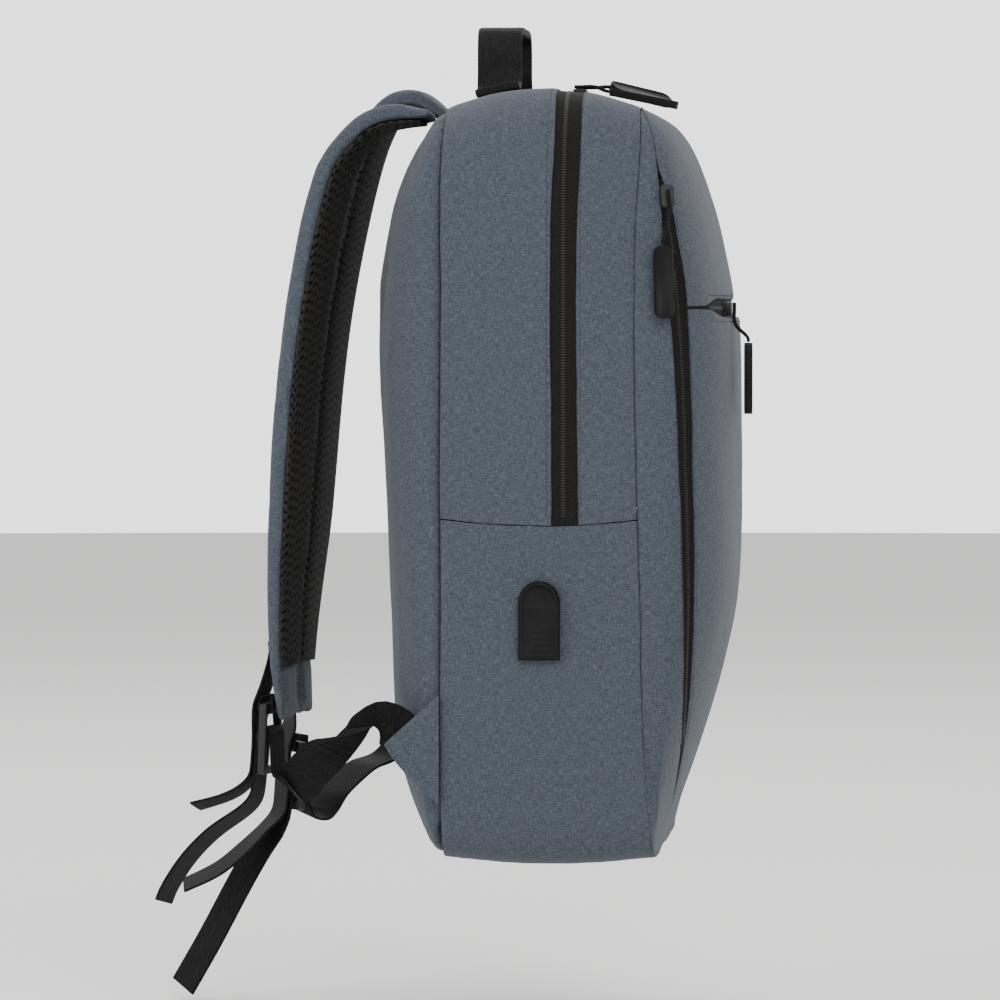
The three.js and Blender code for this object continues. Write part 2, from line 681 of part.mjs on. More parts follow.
// Stop of a webbing band, by its place along and out from the buckle
function atBuckle(side, up, out) {
  const frame = buckleFrame(side);
  const wide = new THREE.Vector3().setFromMatrixColumn(frame, 0);
  return { place: new THREE.Vector3(0, out, up).applyMatrix4(frame), wide, roll: 0, width: webWidth, thick: webThick };
}

// Stop of a webbing band that is sewn on the outer face of a strap, by its share of the strap's length
function atStrap(side, share) {
  const { centre, wide, thick, depth } = bandFrame(strapStops(side))(share * (strapShape.length - 1));
  centre.addScaledVector(thick, (depth + webThick) / 2 + 3 * seamGap);
  return { place: centre, wide: wide.negate(), roll: 0, width: webWidth, thick: webThick };
}

// Stop of a webbing band, by its place beside the bag
function atPlace(side, { out, back, up, roll }) {
  const buckle = buckleMiddle(side);
  const place = new THREE.Vector3(
    side.sign * THREE.MathUtils.lerp(strapOut, halfWidth, out),
    THREE.MathUtils.lerp(buckle.back, rearSeam, out) + back,
    THREE.MathUtils.lerp(buckle.up, (tabTop + tabBase) / 2, out) + up,
  );
  return { place, wide: xAxis, roll, width: webWidth, thick: webThick };
}

// Webbing: its free ends and its run to the bag differ on the two sides. out is the share of the way from
// the buckle to the middle of the tab, back and up are the distances behind and over the straight line
// between the two, and roll turns the width to face sideways
const hanging = {
  left: {
    adjuster: [
      { out: 0.976, back: 14.6, up: 4.6, roll: 88 },
      { out: 0.973, back: 22.3, up: 11.6, roll: 88 },
      { out: 0.95, back: 26.5, up: 15.1, roll: 66 },
      { out: 0.9, back: 28, up: 15.1, roll: 30 },
      { out: 0.82, back: 25.5, up: 12.5, roll: 14 },
      { out: 0.7, back: 19.5, up: 7.4, roll: 16 },
      { out: 0.56, back: 13, up: 1, roll: 36 },
      { out: 0.42, back: 9, up: -7, roll: 66 },
      { out: 0.24, back: 2, up: -18, roll: 76 },
      { out: 0.08, back: -6, up: -27, roll: 48 },
    ],
    tail: [
      { out: 0, back: 9, up: -36.2, roll: 14 },
      { out: 0.02, back: 33, up: -52.6, roll: 16 },
      { out: 0.05, back: 51, up: -68, roll: 16 },
      { out: 0.07, back: 63.5, up: -84.5, roll: 16 },
      { out: 0.08, back: 67.5, up: -91.9, roll: 16 },
    ],
    shortTail: [
      { out: -0.05, back: 16, up: -32.3, roll: 12 },
      { out: -0.07, back: 35.8, up: -39.4, roll: 14 },
    ],
  },
  right: {
    adjuster: [
      { out: 0.976, back: 17.5, up: -1.6, roll: -88 },
      { out: 0.973, back: 27.2, up: -3.5, roll: -86 },
      { out: 0.95, back: 35.8, up: -9.8, roll: -50 },
      { out: 0.88, back: 43.3, up: -18.7, roll: -20 },
      { out: 0.72, back: 37.1, up: -17.5, roll: -24 },
      { out: 0.57, back: 30, up: -20, roll: -32 },
      { out: 0.36, back: 17.5, up: -23, roll: -38 },
      { out: 0.16, back: 4.5, up: -27, roll: -38 },
    ],
    tail: [
      { out: 0.02, back: 12.1, up: -29.7, roll: -34 },
      { out: 0.03, back: 22.6, up: -43, roll: -38 },
      { out: 0.05, back: 38.9, up: -68.6, roll: -38 },
      { out: 0.05, back: 54.2, up: -97.6, roll: -38 },
      { out: 0.05, back: 70.6, up: -126.2, roll: -38 },
    ],
    shortTail: [
      { out: -0.1, back: 6.6, up: -28.2, roll: -14 },
      { out: -0.12, back: 17.5, up: -40.6, roll: -18 },
      { out: -0.14, back: 29.4, up: -51.1, roll: -17 },
      { out: -0.15, back: 48, up: -60.2, roll: -15 },
    ],
  },
};

function addWebbing() {
  for (const side of sides) {
    const { adjuster, tail, shortTail } = hanging[side.name];
    const places = (list) => list.map((s) => atPlace(side, s));
    const arc = (centre, radius, from, to, count) => Array.from({ length: count }, (_, k) => {
      const angle = THREE.MathUtils.degToRad(THREE.MathUtils.lerp(from, to, k / (count - 1)));
      return atBuckle(side, centre + radius * Math.sin(angle), radius * Math.cos(angle));
    });
    const low = -topBar - buckleBar;
    addPiece(`adjuster_${side.name}`, band({
      stops: [
        ...places(adjuster),
        atBuckle(side, low, -turnRadius - 1.5 * layer),
        atBuckle(side, low / 2, -turnRadius - 2 * seamGap),
        ...arc(middleBar, turnRadius, 180, 0, 7),
        atBuckle(side, low / 2, turnRadius + seamGap),
        atBuckle(side, low, turnRadius + layer / 2),
        ...places(tail),
      ],
      section: flatSection, finer: 3,
    }), webbing);
    addPiece(`buckle_loop_${side.name}`, band({
      stops: [
        atBuckle(side, topBar + 1.5 * buckleBar, turnRadius * 0.5),
        ...arc(topBar, turnRadius, 25, -200, 7),
        atBuckle(side, topBar + 1.5 * buckleBar, -turnRadius * 0.9),
      ],
      section: flatSection, finer: 2,
    }), webbing);
    addPiece(`strap_webbing_${side.name}`, band({
      stops: [
        atStrap(side, side.sewn),
        atStrap(side, side.sewn + 0.015),
        atBuckle(side, topBar + 2.6 * buckleBar, turnRadius * 0.8),
        atBuckle(side, topBar, turnRadius + layer + 2 * seamGap),
        atBuckle(side, middleBar, turnRadius + layer + seamGap),
        atBuckle(side, low / 2, turnRadius + layer + 2 * seamGap),
        atBuckle(side, low, turnRadius + 2 * layer),
        ...places(shortTail),
      ],
      section: flatSection, finer: 3,
    }), webbing);
    const tab = new THREE.Shape(tabOutline.map(({ back, up }) => new THREE.Vector2(
      rearSeam + seamGap + tabReach * back, THREE.MathUtils.lerp(tabBase, tabTop, up),
    )));
    const geometry = new THREE.ExtrudeGeometry(tab, { depth: tabThick, bevelEnabled: false });
    // The outline is drawn in depth and height, so it is turned to stand along the side of the bag
    geometry.applyMatrix4(new THREE.Matrix4().set(0, 0, 1, 0, 1, 0, 0, 0, 0, 1, 0, 0, 0, 0, 0, 1));
    geometry.translate(side.sign > 0 ? halfWidth + seamGap : -halfWidth - seamGap - tabThick, 0, 0);
    addPiece(`strap_tab_${side.name}`, closed(geometry), cloth);
  }
}

// Zip pulls. Each has a slider on its zip, a cord and a flat grip with round ends. start is the middle of
// the slider's top, run its direction, out the way out of the cloth, and grip the two ends of the grip
function addPull(name, { seat, run, out, hang, ends, face }) {
  const slider = new THREE.ExtrudeGeometry(roundedShape(sliderWidth, sliderLength, sliderWidth * 0.3), {
    depth: sliderHeight, bevelEnabled: false, curveSegments: 3,
  });
  const side = new THREE.Vector3().crossVectors(run, out).normalize();
  const base = seat.clone().addScaledVector(out, seamGap);
  const frame = new THREE.Matrix4().makeBasis(side, new THREE.Vector3().crossVectors(out, side), out);
  slider.applyMatrix4(frame.setPosition(base));
  addPiece(`zip_slider_${name}`, closed(slider), plastic);

  const [near, far] = ends;
  const along = far.clone().sub(near).normalize();
  const grip = new THREE.ExtrudeGeometry(roundedShape(gripWidth, gripLength, gripWidth * 0.45), {
    depth: gripThick, bevelEnabled: false, curveSegments: 4,
  });
  grip.translate(0, 0, -gripThick / 2);
  const across = new THREE.Vector3().crossVectors(along, face).normalize();
  const flat = new THREE.Vector3().crossVectors(across, along);
  const middle = near.clone().addScaledVector(along, gripLength / 2);
  grip.applyMatrix4(new THREE.Matrix4().makeBasis(across, along, flat).setPosition(middle));
  addPiece(`pull_grip_${name}`, closed(grip), rubber);

  // The cord runs from the slider to the grip
  const top = base.clone().addScaledVector(out, sliderHeight + pullCord / 2 + seamGap);
  const level = hang.clone().addScaledVector(out, -hang.dot(out)).normalize();
  const route = [
    top.clone().addScaledVector(level, -sliderLength / 4),
    top,
    top.clone().addScaledVector(level, sliderLength / 2 + pullCord),
    near.clone().addScaledVector(along, -seamGap - pullCord),
    near.clone().addScaledVector(along, -seamGap),
  ];
  const ring = new THREE.Shape();
  ring.absarc(0, 0, pullCord / 2, 0, Math.PI * 2, false);
  const cord = new THREE.ExtrudeGeometry(ring, {
    extrudePath: new THREE.CatmullRomCurve3(route, false, 'centripetal'), steps: 12, curveSegments: 4,
    bevelEnabled: false,
  });
  addPiece(`pull_cord_${name}`, closed(cord), webbing);
}

function addPulls() {
  const up = new THREE.Vector3(0, 0, 1);
  const down = new THREE.Vector3(0, 0, -1);
  const forward = new THREE.Vector3(0, -1, 0);
  const left = new THREE.Vector3(-1, 0, 0);
  // Two pulls of the main zip meet in the middle of the top and lie forward over the edge
  const zipMiddle = (zipFromSeam + zipWidth / 2) / gussetDepth;
  const crown = gusset(rows.crown, zipMiddle, 1).addScaledVector(up, -zipSink);
  const parted = sliderLength / 2 + 1;
  const edge = gusset(rows.crown, 1, 1);
  const lie = gripThick / 2 + 0.8;
  addPull('top_left', {
    seat: crown.clone().setX(-parted), run: xAxis, out: up, hang: forward, face: up,
    ends: [
      new THREE.Vector3(-parted, crown.y - topCord, crown.z + lie - 1),
      new THREE.Vector3(-parted - 5, edge.y - 16, edge.z + lie),
    ],
  });
  addPull('top_right', {
    seat: crown.clone().setX(parted), run: xAxis, out: up, hang: forward, face: new THREE.Vector3(-0.55, 0, 0.83),
    ends: [
      new THREE.Vector3(parted + 2, crown.y - topCord, crown.z + lie + 2),
      new THREE.Vector3(parted + 24, edge.y - 8, edge.z + lie + 4),
    ],
  });
  // Side front zip: its pull hangs straight down along the side
  const sideRow = zipEnd(sideZipEnds.high) - 1;
  const sideTurn = (zipTurn(sideRow, 'front') + zipTurn(sideRow, 'rear')) / 2;
  const sideSeat = frontAt(sideRow, -sideTurn);
  const clear = gripThick / 2 + 1.5;
  addPull('side', {
    seat: sideSeat.clone().addScaledVector(inward(sideSeat), -2 * seamGap),
    run: down, out: inward(sideSeat).negate(), hang: down, face: left,
    ends: [
      new THREE.Vector3(-halfWidth - clear, sideSeat.y + 1, sideSeat.z - sideCord),
      new THREE.Vector3(-halfWidth - clear, sideSeat.y, sideSeat.z - sideCord - gripLength),
    ],
  });
  // Front pocket zip: its pull hangs before the pocket
  const frontX = -halfWidth * 0.42;
  const turn = -Math.asin((-frontX / halfWidth) ** (frontRoundness / 2));
  const frontSeat = frontAt(rowAt(pocketTop + pocketZipWidth / 2), turn);
  const before = frontAt(rowAt(pocketTop - gripLength), turn, pocketStandOff).y - clear - 4;
  addPull('front', {
    seat: frontSeat.clone().addScaledVector(inward(frontSeat), zipSink),
    run: xAxis, out: inward(frontSeat).negate(), hang: down, face: forward,
    ends: [
      new THREE.Vector3(frontX, before, pocketTop - frontCord),
      new THREE.Vector3(frontX, before, pocketTop - frontCord - gripLength),
    ],
  });
}

// Charging port: a flap with an arched top on the left side panel
function addPort() {
  const arch = new THREE.Shape();
  const r = portWidth / 2;
  arch.moveTo(-r, 0);
  arch.lineTo(r, 0);
  arch.lineTo(r, portHeight - r);
  arch.absarc(0, portHeight - r, r, 0, Math.PI, false);
  const geometry = new THREE.ExtrudeGeometry(arch, {
    depth: portThick - portBevel, bevelEnabled: true, bevelThickness: portBevel, bevelSize: portBevel,
    bevelOffset: -portBevel, bevelSegments: 1, curveSegments: 7,
  });
  geometry.translate(0, 0, portBevel - portThick);
  // Width along Y, height along Z, face towards the left
  geometry.applyMatrix4(new THREE.Matrix4().set(0, 0, 1, 0, 1, 0, 0, 0, 0, 1, 0, 0, 0, 0, 0, 1));
  geometry.translate(-halfWidth - sideSwell - seamGap - portBevel, rearSeam - portFromSeam, portBase);
  addPiece('usb_port', closed(geometry), rubber);
}

addShell();
addFront();
addHandle();
addStraps();
addBuckles();
addWebbing();
addPulls();
addPort();

pack.position.z = -handleUnder;

export default pack;
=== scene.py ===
import json
import math
import bmesh
import bpy
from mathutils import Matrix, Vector, noise
from mathutils.bvhtree import BVHTree
from mathutils.kdtree import KDTree

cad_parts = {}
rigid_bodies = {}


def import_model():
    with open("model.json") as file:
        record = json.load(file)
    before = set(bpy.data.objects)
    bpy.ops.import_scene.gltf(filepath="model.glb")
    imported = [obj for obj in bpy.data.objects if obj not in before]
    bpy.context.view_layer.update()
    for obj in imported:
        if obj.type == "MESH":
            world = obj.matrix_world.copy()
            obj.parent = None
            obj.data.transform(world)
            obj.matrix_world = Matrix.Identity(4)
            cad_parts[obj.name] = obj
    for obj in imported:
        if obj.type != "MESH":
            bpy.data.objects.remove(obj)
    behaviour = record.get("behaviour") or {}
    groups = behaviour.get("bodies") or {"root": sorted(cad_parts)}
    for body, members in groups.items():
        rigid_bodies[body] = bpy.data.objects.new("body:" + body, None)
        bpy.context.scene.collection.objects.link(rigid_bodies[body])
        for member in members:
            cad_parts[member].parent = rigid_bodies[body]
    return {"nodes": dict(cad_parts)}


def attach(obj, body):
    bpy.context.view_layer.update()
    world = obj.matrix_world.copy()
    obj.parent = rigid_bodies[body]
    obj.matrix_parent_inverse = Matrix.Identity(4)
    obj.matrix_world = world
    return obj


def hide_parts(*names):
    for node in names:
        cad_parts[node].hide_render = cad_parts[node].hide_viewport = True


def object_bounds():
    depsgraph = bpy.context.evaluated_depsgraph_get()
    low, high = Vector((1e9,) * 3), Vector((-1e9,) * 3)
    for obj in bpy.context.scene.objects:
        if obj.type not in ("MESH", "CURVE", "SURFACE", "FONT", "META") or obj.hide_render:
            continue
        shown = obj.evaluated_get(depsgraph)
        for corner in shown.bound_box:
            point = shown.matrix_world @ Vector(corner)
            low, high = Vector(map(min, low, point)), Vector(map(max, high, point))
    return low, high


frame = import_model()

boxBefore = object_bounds()
scene = bpy.context.scene

# Sizes of the bag that more than one piece uses, in metres
bag = {
    "rearSeam": 0.026,  # seam of the back panel, behind the handle
    "crown": -0.0315,
    "halfWidth": 0.145,
    "topCorner": 0.062,
    "mouth": -0.2705,  # top seam of the side pockets
    "zipMiddle": -0.042,  # middle of the main zip, before the handle
    "zipWidth": 0.014,
}


# Studio

studio = {
    "lens": 252.6,
    "cameraPlace": (-3.9889, -0.2759, -0.1588),
    "cameraTarget": (0.0, 0.003, -0.2635),
    "floorRadius": 9.0,
    "floorDrop": 0.004,  # under the lowest webbing
    "floorColour": "f4f4f2",
    "worldColour": "ffffff",
    "roomStrength": 0.55,  # behind the camera and beside it
    "backdropStrength": 2.3,  # behind the bag
    "roomEnd": 0.1,  # how far a direction points away from the camera where the room starts to brighten
    "backdropStart": 0.95,
    "lights": [
        {"name": "keyLight", "place": (-3.1, -1.1, 2.0), "size": 2.6, "power": 105},
        {"name": "fillLight", "place": (-2.2, 2.6, 0.9), "size": 2.8, "power": 66},
        {"name": "rimLight", "place": (2.4, 0.6, 2.2), "size": 2.2, "power": 30},
        {"name": "topLight", "place": (0.0, 0.0, 3.0), "size": 2.4, "power": 30},
    ],
}


def linear(colour):
    parts = [int(colour[i:i + 2], 16) / 255 for i in (0, 2, 4)]
    return tuple(c / 12.92 if c <= 0.04045 else ((c + 0.055) / 1.055) ** 2.4 for c in parts) + (1.0,)


def lookAt(thing, target):
    thing.rotation_euler = (Vector(target) - thing.location).to_track_quat("-Z", "Y").to_euler()


def link(thing):
    scene.collection.objects.link(thing)
    return thing


camera = link(bpy.data.objects.new("camera", bpy.data.cameras.new("camera")))
camera.data.lens = studio["lens"]
camera.data.sensor_width = 36
camera.data.clip_end = 100
camera.location = studio["cameraPlace"]
lookAt(camera, studio["cameraTarget"])
scene.camera = camera

for lamp in studio["lights"]:
    light = link(bpy.data.objects.new(lamp["name"], bpy.data.lights.new(lamp["name"], "AREA")))
    light.data.shape = "DISK"
    light.data.size = lamp["size"]
    light.data.energy = lamp["power"]
    light.location = lamp["place"]
    lookAt(light, studio["cameraTarget"])

world = bpy.data.worlds.new("paleStudio")
scene.world = world
world.use_nodes = True


# Materials. One function adds a node with its settings and links

def addNode(tree, kind, inputs=None, **settings):
    node = tree.nodes.new(kind)
    for key, value in settings.items():
        setattr(node, key, value)
    for key, value in (inputs or {}).items():
        socket = node.inputs[key]
        if isinstance(value, bpy.types.NodeSocket):
            tree.links.new(value, socket)
        else:
            socket.default_value = value
    return node


# The room is darker behind the camera than behind the bag: the backdrop is pale and the black trim stays deep
sky = world.node_tree.nodes["Background"]
sky.inputs["Color"].default_value = linear(studio["worldColour"])
direction = addNode(world.node_tree, "ShaderNodeTexCoord").outputs["Generated"]
depthWay = addNode(world.node_tree, "ShaderNodeSeparateXYZ", {0: direction}).outputs[0]
strength = addNode(world.node_tree, "ShaderNodeMapRange", {
    "Value": depthWay, "From Min": studio["roomEnd"], "From Max": studio["backdropStart"],
    "To Min": studio["roomStrength"], "To Max": studio["backdropStrength"],
}).outputs["Result"]
world.node_tree.links.new(strength, sky.inputs["Strength"])
print("studio ready")


def newMaterial(name):
    material = bpy.data.materials.new(name)
    material.use_nodes = True
    tree = material.node_tree
    return material, tree, tree.nodes["Principled BSDF"]


def rampOf(tree, factor, stops):
    ramp = addNode(tree, "ShaderNodeValToRGB", {"Fac": factor})
    elements = ramp.color_ramp.elements
    for index, (place, colour) in enumerate(stops):
        stop = elements[index] if index < 2 else elements.new(place)
        stop.position = place
        stop.color = linear(colour)
    return ramp.outputs["Color"]


# What all weaves share: the spread of the noise that sets the threads' tones and the clouds over them
weave = {
    "threadNoise": (0.34, 0.66),
    "threadDetail": 1.5,
    "cloudNoise": (0.25, 0.75),
    "cloudDetail": 3.0,
    "noiseRoughness": 0.6,
    "crossing": 0.5,  # height of the thread waves where one thread goes under the other
    "crossingRelief": 0.6,
    "sheenRoughness": 0.5,
}


def wovenMaterial(name, look):
    # Plain weave of crossing threads: each changes tone along its length, and the crossings show as relief
    material, tree, shader = newMaterial(name)
    if look["map"] == "uv":
        place = addNode(tree, "ShaderNodeUVMap", uv_map="weave").outputs["UV"]
    else:
        place = addNode(tree, "ShaderNodeTexCoord").outputs["Object"]
    pitch = look["pitch"]
    tones = []
    for along, across in ((look["streak"], pitch), (pitch, look["streak"])):
        mapped = addNode(tree, "ShaderNodeMapping", {
            "Vector": place, "Scale": (1 / along, 1 / across, 1 / look["streak"]),
        })
        spots = addNode(tree, "ShaderNodeTexNoise", {
            "Vector": mapped.outputs["Vector"], "Scale": 1.0,
            "Detail": weave["threadDetail"], "Roughness": weave["noiseRoughness"],
        })
        tones.append(addNode(tree, "ShaderNodeMapRange", {
            "Value": spots.outputs["Fac"],
            "From Min": weave["threadNoise"][0], "From Max": weave["threadNoise"][1],
        }).outputs["Result"])
    scaled = addNode(tree, "ShaderNodeVectorMath", {
        0: place, 1: (math.pi / pitch,) * 3,
    }, operation="MULTIPLY")
    waves = addNode(tree, "ShaderNodeVectorMath", {0: scaled.outputs[0]}, operation="SINE")
    parts = addNode(tree, "ShaderNodeSeparateXYZ", {0: waves.outputs[0]})
    crossing = addNode(tree, "ShaderNodeMath", {
        0: parts.outputs[0], 1: parts.outputs[1],
    }, operation="MULTIPLY")
    above = addNode(tree, "ShaderNodeMapRange", {
        "Value": crossing.outputs[0], "From Min": -weave["crossing"], "From Max": weave["crossing"],
    }).outputs["Result"]
    tone = addNode(tree, "ShaderNodeMix", {0: above, 2: tones[0], 3: tones[1]}).outputs[0]
    cloud = addNode(tree, "ShaderNodeTexNoise", {
        "Vector": place, "Scale": look["cloudScale"],
        "Detail": weave["cloudDetail"], "Roughness": weave["noiseRoughness"],
    })
    shade = addNode(tree, "ShaderNodeMapRange", {
        "Value": cloud.outputs["Fac"],
        "From Min": weave["cloudNoise"][0], "From Max": weave["cloudNoise"][1],
        "To Min": -look["cloud"], "To Max": look["cloud"],
    }).outputs["Result"]
    mixed = addNode(tree, "ShaderNodeMath", {0: tone, 1: shade}, operation="ADD", use_clamp=True)
    colour = rampOf(tree, mixed.outputs[0], [
        (0.0, look["dark"]), (1.0, look["light"]), (0.5, look["middle"]),
    ])
    relief = addNode(tree, "ShaderNodeMath", {
        0: above, 1: weave["crossingRelief"], 2: tone,
    }, operation="MULTIPLY_ADD")
    bump = addNode(tree, "ShaderNodeBump", {
        "Height": relief.outputs[0], "Strength": look["bump"], "Distance": look["relief"],
    })
    tree.links.new(colour, shader.inputs["Base Color"])
    tree.links.new(bump.outputs["Normal"], shader.inputs["Normal"])
    shader.inputs["Roughness"].default_value = look["roughness"]
    shader.inputs["Specular IOR Level"].default_value = look["specular"]
    shader.inputs["Sheen Weight"].default_value = look["sheen"]
    shader.inputs["Sheen Roughness"].default_value = weave["sheenRoughness"]
    return material


# What all moulded pieces share: uneven gloss and tone over centimetres
wear = {
    "scale": 60.0, "detail": 4.0, "noise": (0.3, 0.7), "gloss": 0.06, "grainDetail": 2.0, "relief": 0.00005,
}


def mouldedMaterial(name, look):
    # Moulded plastic or rubber: near even colour, with a fine eroded grain in its gloss and relief
    material, tree, shader = newMaterial(name)
    place = addNode(tree, "ShaderNodeTexCoord").outputs["Object"]
    grain = addNode(tree, "ShaderNodeTexNoise", {
        "Vector": place, "Scale": 1 / look["grain"], "Detail": wear["grainDetail"],
    }).outputs["Fac"]
    worn = addNode(tree, "ShaderNodeTexNoise", {
        "Vector": place, "Scale": wear["scale"], "Detail": wear["detail"],
    }).outputs["Fac"]
    least, most = wear["noise"]
    gloss = addNode(tree, "ShaderNodeMapRange", {
        "Value": worn, "From Min": least, "From Max": most,
        "To Min": look["roughness"] - wear["gloss"], "To Max": look["roughness"] + wear["gloss"],
    }).outputs["Result"]
    bump = addNode(tree, "ShaderNodeBump", {
        "Height": grain, "Strength": look["bump"], "Distance": wear["relief"],
    })
    colour = rampOf(tree, worn, [(least, look["dark"]), (most, look["light"])])
    tree.links.new(colour, shader.inputs["Base Color"])
    tree.links.new(gloss, shader.inputs["Roughness"])
    tree.links.new(bump.outputs["Normal"], shader.inputs["Normal"])
    shader.inputs["Specular IOR Level"].default_value = look["specular"]
    return material


def netMaterial(name, look):
    # Knitted spacer net: rows of oval holes, with every other row shifted by half a hole
    material, tree, shader = newMaterial(name)
    place = addNode(tree, "ShaderNodeUVMap", uv_map="weave").outputs["UV"]
    parts = addNode(tree, "ShaderNodeSeparateXYZ", {0: place})
    fold = addNode(tree, "ShaderNodeMath", {0: parts.outputs[0], 1: look["chevron"]}, operation="PINGPONG")
    slanted = addNode(tree, "ShaderNodeMath", {
        0: fold.outputs[0], 1: look["slant"], 2: parts.outputs[1],
    }, operation="MULTIPLY_ADD")
    waves = []
    for place1d, size in ((parts.outputs[0], look["holeWidth"]), (slanted.outputs[0], look["holeHeight"])):
        turned = addNode(tree, "ShaderNodeMath", {0: place1d, 1: math.pi / size}, operation="MULTIPLY")
        waves.append(addNode(tree, "ShaderNodeMath", {0: turned.outputs[0]}, operation="COSINE").outputs[0])
    both = addNode(tree, "ShaderNodeMath", {0: waves[0], 1: waves[1]}, operation="MULTIPLY")
    hole = addNode(tree, "ShaderNodeMapRange", {
        "Value": both.outputs[0], "From Min": look["rim"], "From Max": look["open"],
    }).outputs["Result"]
    yarn = addNode(tree, "ShaderNodeTexNoise", {
        "Vector": place, "Scale": 1 / look["yarn"], "Detail": look["yarnDetail"],
    }).outputs["Fac"]
    solidPart = addNode(tree, "ShaderNodeMath", {0: 1.0, 1: hole}, operation="SUBTRACT")
    height = addNode(tree, "ShaderNodeMath", {
        0: yarn, 1: look["yarnRelief"], 2: solidPart.outputs[0],
    }, operation="MULTIPLY_ADD")
    bump = addNode(tree, "ShaderNodeBump", {
        "Height": height.outputs[0], "Strength": look["bump"], "Distance": look["relief"],
    })
    # The holes are coloured near black: the dark backing seen through them, with painted shade in their depth
    colour = rampOf(tree, hole, [(0.0, look["light"]), (1.0, look["dark"])])
    tree.links.new(colour, shader.inputs["Base Color"])
    tree.links.new(bump.outputs["Normal"], shader.inputs["Normal"])
    shader.inputs["Roughness"].default_value = look["roughness"]
    shader.inputs["Specular IOR Level"].default_value = look["specular"]
    return material


# Melange polyester, 600 denier plain weave: grey-blue threads of two tones, matt, in short streaks both ways.
# The thread pitch of 0.35 mm is drawn at 0.6 mm, so that it shows
melange = wovenMaterial("melangePolyester", {
    "map": "uv", "pitch": 0.0006, "streak": 0.0036, "dark": "30363d", "middle": "3e444c", "light": "505760",
    "cloudScale": 180.0, "cloud": 0.08, "bump": 0.4, "relief": 0.0002,
    "roughness": 0.92, "specular": 0.15, "sheen": 0.08,
})
# Nylon webbing: near black, ribs across, a little lustre
nylonWebbing = wovenMaterial("nylonWebbing", {
    "map": "object", "pitch": 0.0011, "streak": 0.006,
    "dark": "080808", "middle": "0e0e0e", "light": "161616",
    "cloudScale": 90.0, "cloud": 0.12, "bump": 0.6, "relief": 0.0003,
    "roughness": 0.75, "specular": 0.12, "sheen": 0.0,
})
handleWebbing = wovenMaterial("handleWebbing", {
    "map": "object", "pitch": 0.0009, "streak": 0.004,
    "dark": "0e0e0e", "middle": "151515", "light": "1e1e1e",
    "cloudScale": 90.0, "cloud": 0.1, "bump": 0.6, "relief": 0.00025,
    "roughness": 0.75, "specular": 0.15, "sheen": 0.0,
})
# Polyester zip tape: fine twill, dark brown-black and matt
zipTape = wovenMaterial("zipTapeTwill", {
    "map": "uv", "pitch": 0.0007, "streak": 0.002, "dark": "0e0d0d", "middle": "151413", "light": "1d1c1b",
    "cloudScale": 120.0, "cloud": 0.1, "bump": 0.5, "relief": 0.00018,
    "roughness": 0.85, "specular": 0.12, "sheen": 0.0,
})
braidedCord = wovenMaterial("braidedCord", {
    "map": "object", "pitch": 0.0008, "streak": 0.0016,
    "dark": "080808", "middle": "0f0f0f", "light": "181818",
    "cloudScale": 200.0, "cloud": 0.1, "bump": 0.8, "relief": 0.0003,
    "roughness": 0.75, "specular": 0.15, "sheen": 0.0,
})
# Spacer net on the wearer's side of the straps: open holes in charcoal yarn, 2.6 mm apart in slanting rows.
# The holes are drawn wider than real ones, so that they show at a glancing look
# Its near black hole colour is the dark backing seen through the holes, with painted shade in their depth
spacerNet = netMaterial("spacerNet", {
    "holeWidth": 0.0055, "holeHeight": 0.0026, "yarn": 0.0005, "dark": "050505", "light": "2c2a28",
    "chevron": 0.016, "slant": 0.35, "rim": 0.15, "open": 0.6, "yarnDetail": 2.0, "yarnRelief": 0.35,
    "bump": 0.9, "relief": 0.0008, "roughness": 0.9, "specular": 0.12,
})
# Nylon coil of the zips: warm black, satin
nylonCoil = mouldedMaterial("nylonCoil", {
    "dark": "191715", "light": "24211e", "roughness": 0.45, "grain": 0.0004, "bump": 0.1, "specular": 0.35,
})
# Acetal buckles and sliders: moulded, satin
acetal = mouldedMaterial("mouldedAcetal", {
    "dark": "121314", "light": "1a1b1c", "roughness": 0.45, "grain": 0.0003, "bump": 0.2, "specular": 0.35,
})
# Soft PVC of the pull grips and the port cover: satin, with a little grain
softPvc = mouldedMaterial("softPvc", {
    "dark": "0c0c0c", "light": "131313", "roughness": 0.5, "grain": 0.0004, "bump": 0.3, "specular": 0.14,
})
# Sewing thread: bonded polyester, a shade darker than the cloth, and black on black
greyThread = mouldedMaterial("greyThread", {
    "dark": "252b32", "light": "313840", "roughness": 0.75, "grain": 0.0003, "bump": 0.3, "specular": 0.2,
})
blackThread = mouldedMaterial("blackThread", {
    "dark": "141414", "light": "202020", "roughness": 0.65, "grain": 0.0003, "bump": 0.3, "specular": 0.25,
})
floorPaint = mouldedMaterial("paleFloor", {
    "dark": studio["floorColour"], "light": studio["floorColour"],
    "roughness": 0.9, "grain": 0.01, "bump": 0.0, "specular": 0.2,
})
print("materials ready")


# Floor under the lowest webbing

floorMesh = bpy.data.meshes.new("floor")
shape = bmesh.new()
bmesh.ops.create_circle(shape, cap_ends=True, segments=96, radius=studio["floorRadius"])
for vert in shape.verts:
    vert.co.z = boxBefore[0].z - studio["floorDrop"]
shape.to_mesh(floorMesh)
shape.free()
floorMesh.materials.append(floorPaint)
floor = link(bpy.data.objects.new("floor", floorMesh))


# Helpers for the pieces

def nodeCopy(node, name):
    source = frame["nodes"][node]
    piece = link(bpy.data.objects.new(name, source.data.copy()))
    piece.data.materials.clear()
    return piece


def applied(piece):
    # The evaluated shape becomes the piece's own mesh
    depsgraph = bpy.context.evaluated_depsgraph_get()
    mesh = bpy.data.meshes.new_from_object(piece.evaluated_get(depsgraph), depsgraph=depsgraph)
    piece.modifiers.clear()
    old = piece.data
    piece.data = mesh
    bpy.data.meshes.remove(old)
    return piece


def smoothed(piece):
    for face in piece.data.polygons:
        face.use_smooth = True
    return piece


